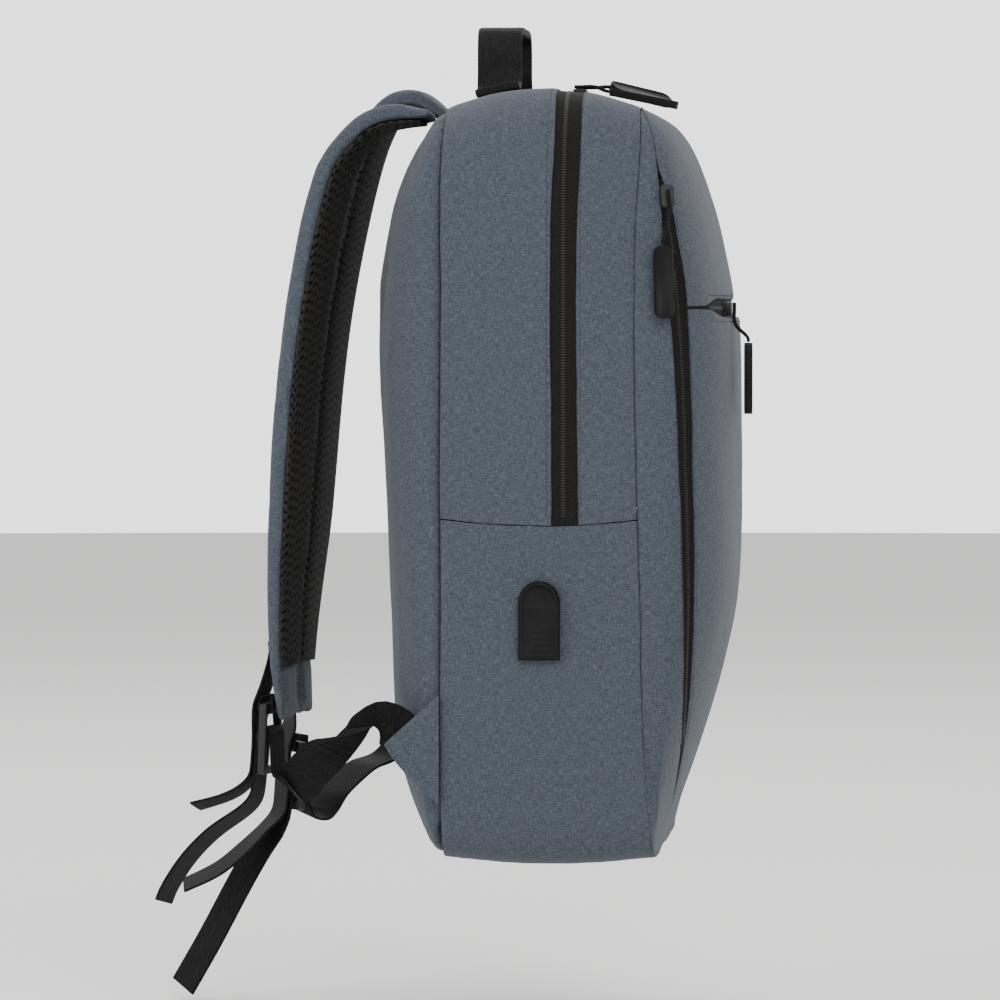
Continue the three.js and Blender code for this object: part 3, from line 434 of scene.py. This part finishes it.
joints = {
    "weld": 1e-6,
    "flatAngle": math.radians(30),  # triangles of one quad differ by less
    "skewAngle": math.radians(60),
    "sharpAngle": math.radians(38),
    "seamAngle": math.radians(50),
    "wallWidth": 0.004,  # walls at the seams are narrower
    "leastWay": 0.1,
}


def roundEdges(piece, radius, segments=2, meet=0.0):
    # Triangles become quads again, the narrow walls at the seams move out to meet their neighbours, and sharp
    # edges are rounded
    shape = bmesh.new()
    shape.from_mesh(piece.data)
    bmesh.ops.remove_doubles(shape, verts=shape.verts, dist=joints["weld"])
    bmesh.ops.join_triangles(
        shape, faces=shape.faces,
        angle_face_threshold=joints["flatAngle"], angle_shape_threshold=joints["skewAngle"],
    )
    shape.normal_update()
    sharp = [e for e in shape.edges if e.is_manifold and e.calc_face_angle() > joints["sharpAngle"]]
    if meet:
        edges = set(sharp)
        moves = {}
        for face in shape.faces:
            narrow = min(e.calc_length() for e in face.edges) < joints["wallWidth"]
            if narrow and sum(e in edges for e in face.edges) >= 2:
                for vert in face.verts:
                    moves[vert] = moves.get(vert, Vector()) + face.normal
        for vert, way in moves.items():
            if way.length > joints["leastWay"]:
                vert.co += way.normalized() * meet
    bmesh.ops.bevel(
        shape, geom=sharp, offset=radius, segments=segments, profile=0.5, affect="EDGES",
        clamp_overlap=True, miter_outer="ARC",
    )
    shape.to_mesh(piece.data)
    shape.free()
    return piece


def subdivided(piece, levels):
    modifier = piece.modifiers.new("finer", "SUBSURF")
    modifier.levels = levels
    modifier.render_levels = levels
    return applied(piece)


def boxUv(piece):
    # Metres along the two axes that each face lies along
    mesh = piece.data
    layer = mesh.uv_layers.get("weave") or mesh.uv_layers.new(name="weave")
    for face in mesh.polygons:
        size = [abs(n) for n in face.normal]
        axes = ((1, 2), (0, 2), (0, 1))[size.index(max(size))]
        for loop in face.loop_indices:
            place = mesh.vertices[mesh.loops[loop].vertex_index].co
            layer.data[loop].uv = (place[axes[0]], place[axes[1]])
    return piece


def dress(piece, material, slot, *nodes):
    piece.data.materials.clear()
    piece.data.materials.append(material)
    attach(piece, "root")
    if nodes:
        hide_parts(*nodes)
    return piece


# Folds of the filled bag. The same field moves every piece of the shell, so its seams stay shut

folds = {
    "seed": 7,
    "broad": {"scale": 11.0, "height": 0.0011},
    "small": {"scale": 38.0, "height": 0.00035},
    "pucker": {"scale": 150.0, "height": 0.0005, "reach": 0.011},  # gathers along the seams
    "groove": {"depth": 0.0005, "reach": 0.0035},  # cloth dips towards its seams
    "seamStep": 0.002,  # between the points that mark the seams
    "still": 0.002,  # the pucker fades this near to a seam, so that the seam stays shut
}
noise.seed_set(folds["seed"])

shellCloth = [
    "rear_gusset", "front_gusset", "side_pocket_left", "side_pocket_right", "base_panel", "front_upper_panel",
    "front_pocket_panel", "front_side_left", "front_side_right", "back_panel",
]
shellZips = ["main_zip", "front_zip", "side_front_zip"]


def sharpLine(node):
    # Evenly spaced points on the sharp edges of a node
    shape = bmesh.new()
    shape.from_mesh(frame["nodes"][node].data)
    bmesh.ops.remove_doubles(shape, verts=shape.verts, dist=joints["weld"])
    points = []
    for edge in shape.edges:
        if edge.is_manifold and edge.calc_face_angle() > joints["seamAngle"]:
            a, b = (v.co.copy() for v in edge.verts)
            count = max(1, round((b - a).length / folds["seamStep"]))
            points += [a.lerp(b, k / count) for k in range(count)]
    shape.free()
    return points


seamPoints = [p for node in shellCloth for p in sharpLine(node)]
seams = KDTree(len(seamPoints))
for index, point in enumerate(seamPoints):
    seams.insert(point, index)
seams.balance()


def foldField(place):
    push = Vector((0.0, 0.0, 0.0))
    for key in ("broad", "small"):
        fold = folds[key]
        push += noise.noise_vector(place * fold["scale"]) * fold["height"]
    return push


def foldCloth(piece):
    mesh = piece.data
    normals = [v.normal.copy() for v in mesh.vertices]
    for vert, normal in zip(mesh.vertices, normals):
        near = seams.find(vert.co)[2]
        pucker = folds["pucker"]
        groove = folds["groove"]
        rise = 0.0
        if near < pucker["reach"]:
            share = 1 - near / pucker["reach"]
            fade = min(1, near / folds["still"])
            rise += noise.noise(vert.co * pucker["scale"]) * pucker["height"] * share * fade
        if near < groove["reach"]:
            rise -= groove["depth"] * (1 - near / groove["reach"]) ** 2
        vert.co += foldField(vert.co) + normal * rise
    mesh.update()
    return piece


def plainName(node):
    words = node.split("_")
    return words[0] + "".join(w.capitalize() for w in words[1:])


# Cloth walls meet over the seam gap, and the tapes reach in under the cloth beside them
shellEdges = {
    "clothRound": 0.0004, "clothMeet": 0.00018, "tapeRound": 0.0002, "tapeMeet": 0.0008, "levels": 2,
}

for node in shellCloth[:-1]:
    panel = nodeCopy(node, plainName(node) + "Cloth")
    roundEdges(panel, shellEdges["clothRound"], meet=shellEdges["clothMeet"])
    subdivided(panel, shellEdges["levels"])
    foldCloth(panel)
    boxUv(panel)
    smoothed(panel)
    dress(panel, melange, "fabric", node)
for node in shellZips:
    tape = nodeCopy(node, plainName(node) + "Tape")
    roundEdges(tape, shellEdges["tapeRound"], meet=shellEdges["tapeMeet"])
    subdivided(tape, shellEdges["levels"])
    for vert in tape.data.vertices:
        vert.co += foldField(vert.co)
    tape.data.update()
    boxUv(tape)
    smoothed(tape)
    dress(tape, zipTape, "zip_tape", node)
print("shell ready")


# Padded pieces are filled by a short cloth simulation

clothFill = {"quality": 5, "mass": 0.15, "stretch": 15, "bend": 0.5, "frames": 20}


def puffed(piece, voxel, pressure, cap, hold=None):
    remesh = piece.modifiers.new("remesh", "REMESH")
    remesh.mode = "VOXEL"
    remesh.voxel_size = voxel
    applied(piece)
    start = [v.co.copy() for v in piece.data.vertices]
    cloth = piece.modifiers.new("fill", "CLOTH")
    cloth.settings.quality = clothFill["quality"]
    cloth.settings.mass = clothFill["mass"]
    cloth.settings.use_pressure = True
    cloth.settings.uniform_pressure_force = pressure
    cloth.settings.tension_stiffness = clothFill["stretch"]
    cloth.settings.compression_stiffness = clothFill["stretch"]
    cloth.settings.bending_stiffness = clothFill["bend"]
    cloth.settings.effector_weights.gravity = 0
    cloth.collision_settings.use_collision = False
    if hold:
        group = piece.vertex_groups.new(name="held")
        for vert in piece.data.vertices:
            weight = hold(vert.co)
            if weight > 0:
                group.add([vert.index], weight, "REPLACE")
        cloth.settings.vertex_group_mass = "held"
    cloth.point_cache.frame_start = 1
    cloth.point_cache.frame_end = clothFill["frames"]
    for frameNumber in range(1, clothFill["frames"] + 1):
        scene.frame_set(frameNumber)
    applied(piece)
    for vert, place in zip(piece.data.vertices, start):
        move = vert.co - place
        if move.length > cap:
            vert.co = place + move * (cap / move.length)
    scene.frame_set(1)
    return subdivided(piece, 1)


backPad = {"voxel": 0.005, "pressure": 4.0, "cap": 0.0012, "heldDepth": 0.012, "fill": 0.7}
backPanel = nodeCopy("back_panel", "backPanelPad")
puffed(
    backPanel, backPad["voxel"], backPad["pressure"], backPad["cap"],
    hold=lambda place: max(0.0, 1 - (place.y - bag["rearSeam"]) / backPad["heldDepth"]),
)
foldCloth(backPanel)
boxUv(backPanel)
smoothed(backPanel)
dress(backPanel, melange, "fabric", "back_panel")
print("back panel ready")

strap = {"voxel": 0.003, "pressure": 3.0, "cap": 0.0012, "fill": 0.6, "netRound": 0.0008, "netLevels": 2}
for side in ("left", "right"):
    pad = nodeCopy(f"shoulder_strap_{side}", f"{side}ShoulderStrap")
    puffed(pad, strap["voxel"], strap["pressure"], strap["cap"])
    boxUv(pad)
    smoothed(pad)
    dress(pad, melange, "fabric", f"shoulder_strap_{side}")
    net = nodeCopy(f"strap_mesh_{side}", f"{side}StrapNet")
    roundEdges(net, strap["netRound"])
    subdivided(net, strap["netLevels"])
    boxUv(net)
    smoothed(net)
    dress(net, spacerNet, "net", f"strap_mesh_{side}")
print("straps ready")


# Webbing, tabs and hardware: the CAD shape with its edges rounded

trimPieces = [
    {"nodes": ["grab_handle"], "round": 0.0009, "levels": 2, "material": handleWebbing, "slot": "webbing"},
    {"nodes": ["adjuster_left", "adjuster_right", "buckle_loop_left", "buckle_loop_right",
               "strap_webbing_left", "strap_webbing_right"],
     "round": 0.0004, "levels": 2, "material": nylonWebbing, "slot": "webbing"},
    {"nodes": ["strap_tab_left", "strap_tab_right"], "round": 0.001, "levels": 2, "material": melange,
     "slot": "fabric"},
    {"nodes": ["ladder_lock_left", "ladder_lock_right"], "round": 0.0009, "levels": 1, "material": acetal,
     "slot": "buckle"},
    {"nodes": ["zip_slider_top_left", "zip_slider_top_right", "zip_slider_side", "zip_slider_front"],
     "round": 0.0009, "levels": 1, "material": acetal, "slot": "slider"},
    {"nodes": ["pull_grip_top_left", "pull_grip_top_right", "pull_grip_side", "pull_grip_front"],
     "round": 0.0016, "segments": 4, "levels": 0, "material": softPvc, "slot": "rubber",
     "sunk": {"least": 0.0002, "rim": 0.0002, "wall": 0.0003, "depth": 0.0005}},
    {"nodes": ["pull_cord_top_left", "pull_cord_top_right", "pull_cord_side", "pull_cord_front"],
     "round": 0.0003, "levels": 1, "material": braidedCord, "slot": "cord"},
    {"nodes": ["usb_port"],
     "round": 0.0005, "segments": 4, "levels": 0, "material": softPvc, "slot": "rubber",
     "sunk": {"least": 0.0006, "rim": 0.0009, "wall": 0.0002, "depth": 0.0023}},
]


def sunkFaces(piece, look):
    # A rim stays round each broad flat face, and the face inside it sinks
    shape = bmesh.new()
    shape.from_mesh(piece.data)
    bmesh.ops.dissolve_limit(
        shape, angle_limit=math.radians(1), verts=list(shape.verts), edges=list(shape.edges),
    )
    broad = [face for face in shape.faces if face.calc_area() > look["least"]]
    bmesh.ops.inset_individual(shape, faces=broad, thickness=look["rim"])
    bmesh.ops.inset_individual(shape, faces=broad, thickness=look["wall"], depth=-look["depth"])
    shape.to_mesh(piece.data)
    shape.free()
    return piece


for group in trimPieces:
    for node in group["nodes"]:
        piece = nodeCopy(node, plainName(node) + "Trim")
        roundEdges(piece, group["round"], segments=group.get("segments", 2))
        if "sunk" in group:
            sunkFaces(piece, group["sunk"])
        subdivided(piece, group["levels"])
        boxUv(piece)
        smoothed(piece)
        dress(piece, group["material"], group["slot"], node)

# Face of the charging port: a flap with a finger recess under the arch and short ridges at its foot
portFace = {
    "middle": -0.029, "foot": -0.3475, "height": 0.0435, "halfWidth": 0.0115, "face": -0.1531,
    "border": 0.0011,  # from the outline
    "proud": 0.00003,
    "depth": 0.0005,
    "wall": 0.0006,
    "recess": 0.0016,
    "recessFrom": 0.0289,
    "ridgeFrom": 0.0026,
    "ridgePitch": 0.0033,
    "ridgeHalf": 0.0009,
    "ridgeRise": 0.0006,
    "ridgeReach": [0.0084, 0.0067, 0.0047, 0.0032, 0.0014],
    "toothPitch": 0.0013,
    "rows": 150,
    "columns": 84,
}


def portDepth(look, across, up, inside):
    # How far the flap lies under the port's face, at a place given from the middle of its foot
    depth = look["depth"]
    if up > look["recessFrom"]:
        share = (up - look["recessFrom"]) / (look["height"] - look["border"] - look["recessFrom"])
        depth += look["recess"] * share ** 0.7
    for index, reach in enumerate(look["ridgeReach"]):
        off = (up - look["ridgeFrom"] - index * look["ridgePitch"]) / look["ridgeHalf"]
        if abs(off) < 1 and abs(across) < reach:
            end = min(1.0, (reach - abs(across)) / look["ridgeHalf"])
            tooth = 0.7 + 0.3 * math.cos(2 * math.pi * across / look["toothPitch"])
            depth -= look["ridgeRise"] * (1 - off * off) * end * tooth
    share = min(1.0, inside / look["wall"])
    return -look["proud"] + (depth + look["proud"]) * share * share * (3 - 2 * share)


def portRelief(look):
    radius = look["halfWidth"] - look["border"]
    springing = look["height"] - look["halfWidth"]
    low, high = look["border"], look["height"] - look["border"]
    places, faces = [], []
    for row in range(look["rows"] + 1):
        up = low + (high - low) * row / look["rows"]
        rise = max(0.0, up - springing)
        half = math.sqrt(max(0.0, radius * radius - rise * rise))
        for column in range(look["columns"] + 1):
            across = half * (2 * column / look["columns"] - 1)
            edge = radius - math.hypot(across, rise)
            depth = portDepth(look, across, up, max(0.0, min(edge, up - low)))
            places.append((look["face"] + depth, look["middle"] + across, look["foot"] + up))
    wide = look["columns"] + 1
    for row in range(look["rows"]):
        for column in range(look["columns"]):
            first = row * wide + column
            faces.append((first, first + wide, first + wide + 1, first + 1))
    mesh = bpy.data.meshes.new("portRelief")
    mesh.from_pydata(places, [], faces)
    return link(bpy.data.objects.new("portRelief", mesh))


flap = portRelief(portFace)
boxUv(flap)
smoothed(flap)
dress(flap, softPvc, "rubber")
print("trim ready")


# Stitches and zip teeth: one Geometry Nodes tree sets beads along a path

def socketOf(tree, name, kind, default=None):
    socket = tree.interface.new_socket(name=name, in_out="INPUT", socket_type=kind)
    if default is not None:
        socket.default_value = default
    return socket


def beadRowTree():
    tree = bpy.data.node_groups.new("beadRow", "GeometryNodeTree")
    tree.interface.new_socket(name="Geometry", in_out="OUTPUT", socket_type="NodeSocketGeometry")
    socketOf(tree, "Path", "NodeSocketGeometry")
    for name, size in (("Pitch", 0.003), ("Length", 0.0024), ("Width", 0.0005), ("Height", 0.0005)):
        socketOf(tree, name, "NodeSocketFloat", size)
    socketOf(tree, "Material", "NodeSocketMaterial")
    given = addNode(tree, "NodeGroupInput").outputs
    curve = addNode(tree, "GeometryNodeMeshToCurve", {"Mesh": given["Path"]})
    points = addNode(tree, "GeometryNodeResampleCurve", {
        "Curve": curve.outputs[0], "Length": given["Pitch"],
    }, mode="LENGTH")
    bead = addNode(tree, "GeometryNodeMeshUVSphere", {"Segments": 6, "Rings": 4, "Radius": 0.5})
    size = addNode(tree, "ShaderNodeCombineXYZ", {
        0: given["Length"], 1: given["Width"], 2: given["Height"],
    })
    shaped = addNode(tree, "GeometryNodeTransform", {
        "Geometry": bead.outputs["Mesh"], "Scale": size.outputs[0],
    })
    outward = addNode(tree, "GeometryNodeInputNamedAttribute", {"Name": "outward"}, data_type="FLOAT_VECTOR")
    along = addNode(tree, "GeometryNodeInputTangent")
    turn = addNode(tree, "FunctionNodeAxesToRotation", {
        "Primary Axis": outward.outputs["Attribute"], "Secondary Axis": along.outputs[0],
    }, primary_axis="Z", secondary_axis="X")
    row = addNode(tree, "GeometryNodeInstanceOnPoints", {
        "Points": points.outputs[0], "Instance": shaped.outputs[0], "Rotation": turn.outputs[0],
    })
    real = addNode(tree, "GeometryNodeRealizeInstances", {0: row.outputs[0]})
    smooth = addNode(tree, "GeometryNodeSetShadeSmooth", {"Geometry": real.outputs[0]})
    coloured = addNode(tree, "GeometryNodeSetMaterial", {
        "Geometry": smooth.outputs[0], "Material": given["Material"],
    })
    addNode(tree, "NodeGroupOutput", {0: coloured.outputs[0]})
    return tree


beadRow = beadRowTree()


def beads(name, paths, look):
    # paths are lists of (place, outward)
    mesh = bpy.data.meshes.new(name)
    places, edges, ways = [], [], []
    for path in paths:
        first = len(places)
        places += [p for p, way in path]
        ways += [way for p, way in path]
        edges += [(first + k, first + k + 1) for k in range(len(path) - 1)]
    mesh.from_pydata(places, edges, [])
    outward = mesh.attributes.new("outward", "FLOAT_VECTOR", "POINT")
    for index, way in enumerate(ways):
        outward.data[index].vector = way
    piece = link(bpy.data.objects.new(name, mesh))
    modifier = piece.modifiers.new("row", "NODES")
    modifier.node_group = beadRow
    for item in beadRow.interface.items_tree:
        if item.in_out == "INPUT" and item.name in look:
            modifier[item.identifier] = look[item.name]
    applied(piece)
    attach(piece, "root")
    return piece


def surfaceOf(*pieces):
    shape = bmesh.new()
    for piece in pieces:
        shape.from_mesh(piece.data)
    tree = BVHTree.FromBMesh(shape)
    shape.free()
    return tree


def laid(surface, start, way, reach=0.2, lift=0.0):
    # Where a line from start along way first meets a surface, lifted off it
    place, normal, index, far = surface.ray_cast(Vector(start), Vector(way).normalized(), reach)
    if place is None:
        return None
    if normal.dot(Vector(way)) > 0:
        normal = -normal
    return place + normal * lift, normal


def laidPath(surface, rays, reach=0.2, lift=0.0):
    found = [laid(surface, start, way, reach, lift) for start, way in rays]
    return [f for f in found if f]


outline = {"step": 0.004, "stand": 0.03, "turns": 24}


def overTop(depth, low):
    # Rays towards the bag from outside its outline, up the left side, over the top and down the right
    half, corner, crown = bag["halfWidth"], bag["topCorner"], bag["crown"]
    step, out, turns = outline["step"], outline["stand"], outline["turns"]
    centreX, centreZ = half - corner, crown - corner
    rays = []
    z = low
    while z < centreZ:
        rays.append(((-half - out, depth, z), (1, 0, 0)))
        z += step
    for k in range(turns + 1):
        angle = math.pi - k * math.pi / 2 / turns
        way = Vector((math.cos(angle), 0, math.sin(angle)))
        rays.append((Vector((-centreX, depth, centreZ)) + way * (corner + out), -way))
    x = -centreX + step
    while x < 0:
        rays.append(((x, depth, crown + out), (0, 0, -1)))
        x += step
    rays.append(((0, depth, crown + out), (0, 0, -1)))
    mirrored = [((-a[0], a[1], a[2]), (-b[0], b[1], b[2])) for a, b in reversed(rays[:-1])]
    return rays + mirrored


def shown(*names):
    return [bpy.data.objects[n] for n in names]


greySeam = {"Pitch": 0.003, "Length": 0.0023, "Width": 0.0006, "Height": 0.00045, "Material": greyThread}
shellSurface = surfaceOf(*shown(
    "rearGussetCloth", "frontGussetCloth", "sidePocketLeftCloth", "sidePocketRightCloth",
))
zipSurface = surfaceOf(bpy.data.objects["mainZipTape"])

mainZip = {
    "stitchFromEdge": 0.0022, "stitchesStart": 0.003, "coilStart": 0.002, "coilWidth": 0.0034,
    "coilPitch": 0.0015, "coilLength": 0.00108, "coilHeight": 0.0009,
}
rows = []
for sign in (-1, 1):
    depth = bag["zipMiddle"] + sign * (bag["zipWidth"] / 2 + mainZip["stitchFromEdge"])
    rows.append(laidPath(shellSurface, overTop(depth, bag["mouth"] + mainZip["stitchesStart"])))
beads("mainZipStitches", rows, greySeam)
coil = laidPath(zipSurface, overTop(bag["zipMiddle"], bag["mouth"] + mainZip["coilStart"]))
beads("mainZipCoil", [coil], {
    "Pitch": mainZip["coilPitch"], "Length": mainZip["coilLength"], "Width": mainZip["coilWidth"],
    "Height": mainZip["coilHeight"], "Material": nylonCoil,
})

smallCoil = {
    "Pitch": 0.0014, "Length": 0.001, "Width": 0.003, "Height": 0.0008, "Material": nylonCoil,
}
frontZip = {"height": -0.1545, "halfWidth": 0.108, "step": 0.003, "reach": 0.3, "stitchFromMiddle": 0.0072}
sideZip = {"step": 0.008, "stand": 0.05, "stitchFromMiddle": 0.0062}


def frontRays(height):
    count = round(2 * frontZip["halfWidth"] / frontZip["step"])
    return [((frontZip["halfWidth"] * (2 * k / count - 1), -frontZip["reach"], height), (0, 1, 0))
            for k in range(count + 1)]


frontTape = surfaceOf(bpy.data.objects["frontZipTape"])
frontSurface = surfaceOf(*shown("frontUpperPanelCloth", "frontPocketPanelCloth"))
beads("frontZipCoil", [laidPath(frontTape, frontRays(frontZip["height"]))], smallCoil)
beads("frontZipStitches", [
    laidPath(frontSurface, frontRays(frontZip["height"] + sign * frontZip["stitchFromMiddle"]))
    for sign in (-1, 1)
], greySeam)


def middleLine(piece, step):
    # Middle of an upright tape, from its foot to its top
    levels = {}
    for vert in piece.data.vertices:
        levels.setdefault(round(vert.co.z / step), []).append(vert.co)
    line = []
    for level, places in sorted(levels.items()):
        line.append(Vector((
            (min(p.x for p in places) + max(p.x for p in places)) / 2,
            (min(p.y for p in places) + max(p.y for p in places)) / 2,
            level * step,
        )))
    return line


sideTape = bpy.data.objects["sideFrontZipTape"]
sideLine = middleLine(sideTape, sideZip["step"])[1:-1]
outwardWay = Vector((-1, -1, 0)).normalized()
alongPanel = Vector((1, -1, 0)).normalized()
beads("sideFrontZipCoil", [laidPath(surfaceOf(sideTape), [
    (place + outwardWay * sideZip["stand"], -outwardWay) for place in sideLine
])], smallCoil)
sideSurface = surfaceOf(*shown(
    "frontSideLeftCloth", "frontGussetCloth", "sidePocketLeftCloth", "frontUpperPanelCloth",
    "frontPocketPanelCloth",
))
beads("sideFrontZipStitches", [laidPath(sideSurface, [
    (place + outwardWay * sideZip["stand"] + alongPanel * sign * sideZip["stitchFromMiddle"], -outwardWay)
    for place in sideLine
]) for sign in (-1, 1)], greySeam)
print("zip rows ready")

blackSeam = {"Pitch": 0.0026, "Length": 0.002, "Width": 0.0006, "Height": 0.00045, "Material": blackThread}
handleSeam = {"reach": 0.068, "side": 0.0095, "feet": (0.0535, 0.0645), "above": 0.05, "step": 0.002}
handleSurface = surfaceOf(bpy.data.objects["grabHandleTrim"])
handleRows = []
for sign in (-1, 1):
    count = round(2 * handleSeam["reach"] / handleSeam["step"])
    depth = sign * handleSeam["side"]
    handleRows.append(laidPath(handleSurface, [
        ((handleSeam["reach"] * (2 * k / count - 1), depth, handleSeam["above"]), (0, 0, -1))
        for k in range(count + 1)
    ]))
    count = round(2 * handleSeam["side"] / handleSeam["step"])
    for foot in handleSeam["feet"]:
        handleRows.append(laidPath(handleSurface, [
            ((sign * foot, handleSeam["side"] * (2 * k / count - 1), handleSeam["above"]), (0, 0, -1))
            for k in range(count + 1)
        ]))
beads("handleStitches", handleRows, blackSeam)

# Two rows across each tab, beside the edge that the webbing leaves
tabSeam = {
    "edge": (Vector((0, 0.0571, -0.3942)), Vector((0, 0.0475, -0.409))), "inside": (0.0015, 0.009),
    "beyond": 0.012, "out": 0.17, "step": 0.0015,
}
tabTop, tabFoot = tabSeam["edge"]
tabWay = (tabFoot - tabTop).normalized()
tabInward = Vector((0, tabWay.z, -tabWay.y))
for side, sign in (("left", -1), ("right", 1)):
    tabSurface = surfaceOf(bpy.data.objects[f"strapTab{side.capitalize()}Trim"])
    tabRows = []
    for inside in tabSeam["inside"]:
        count = round(((tabFoot - tabTop).length + 2 * tabSeam["beyond"]) / tabSeam["step"])
        tabRows.append(laidPath(tabSurface, [
            (tabTop + tabWay * (k * tabSeam["step"] - tabSeam["beyond"]) + tabInward * inside
             + Vector((sign * tabSeam["out"], 0, 0)), (-sign, 0, 0))
            for k in range(count + 1)
        ]))
    beads(f"{side}TabStitches", tabRows, greySeam)
print("seams ready")
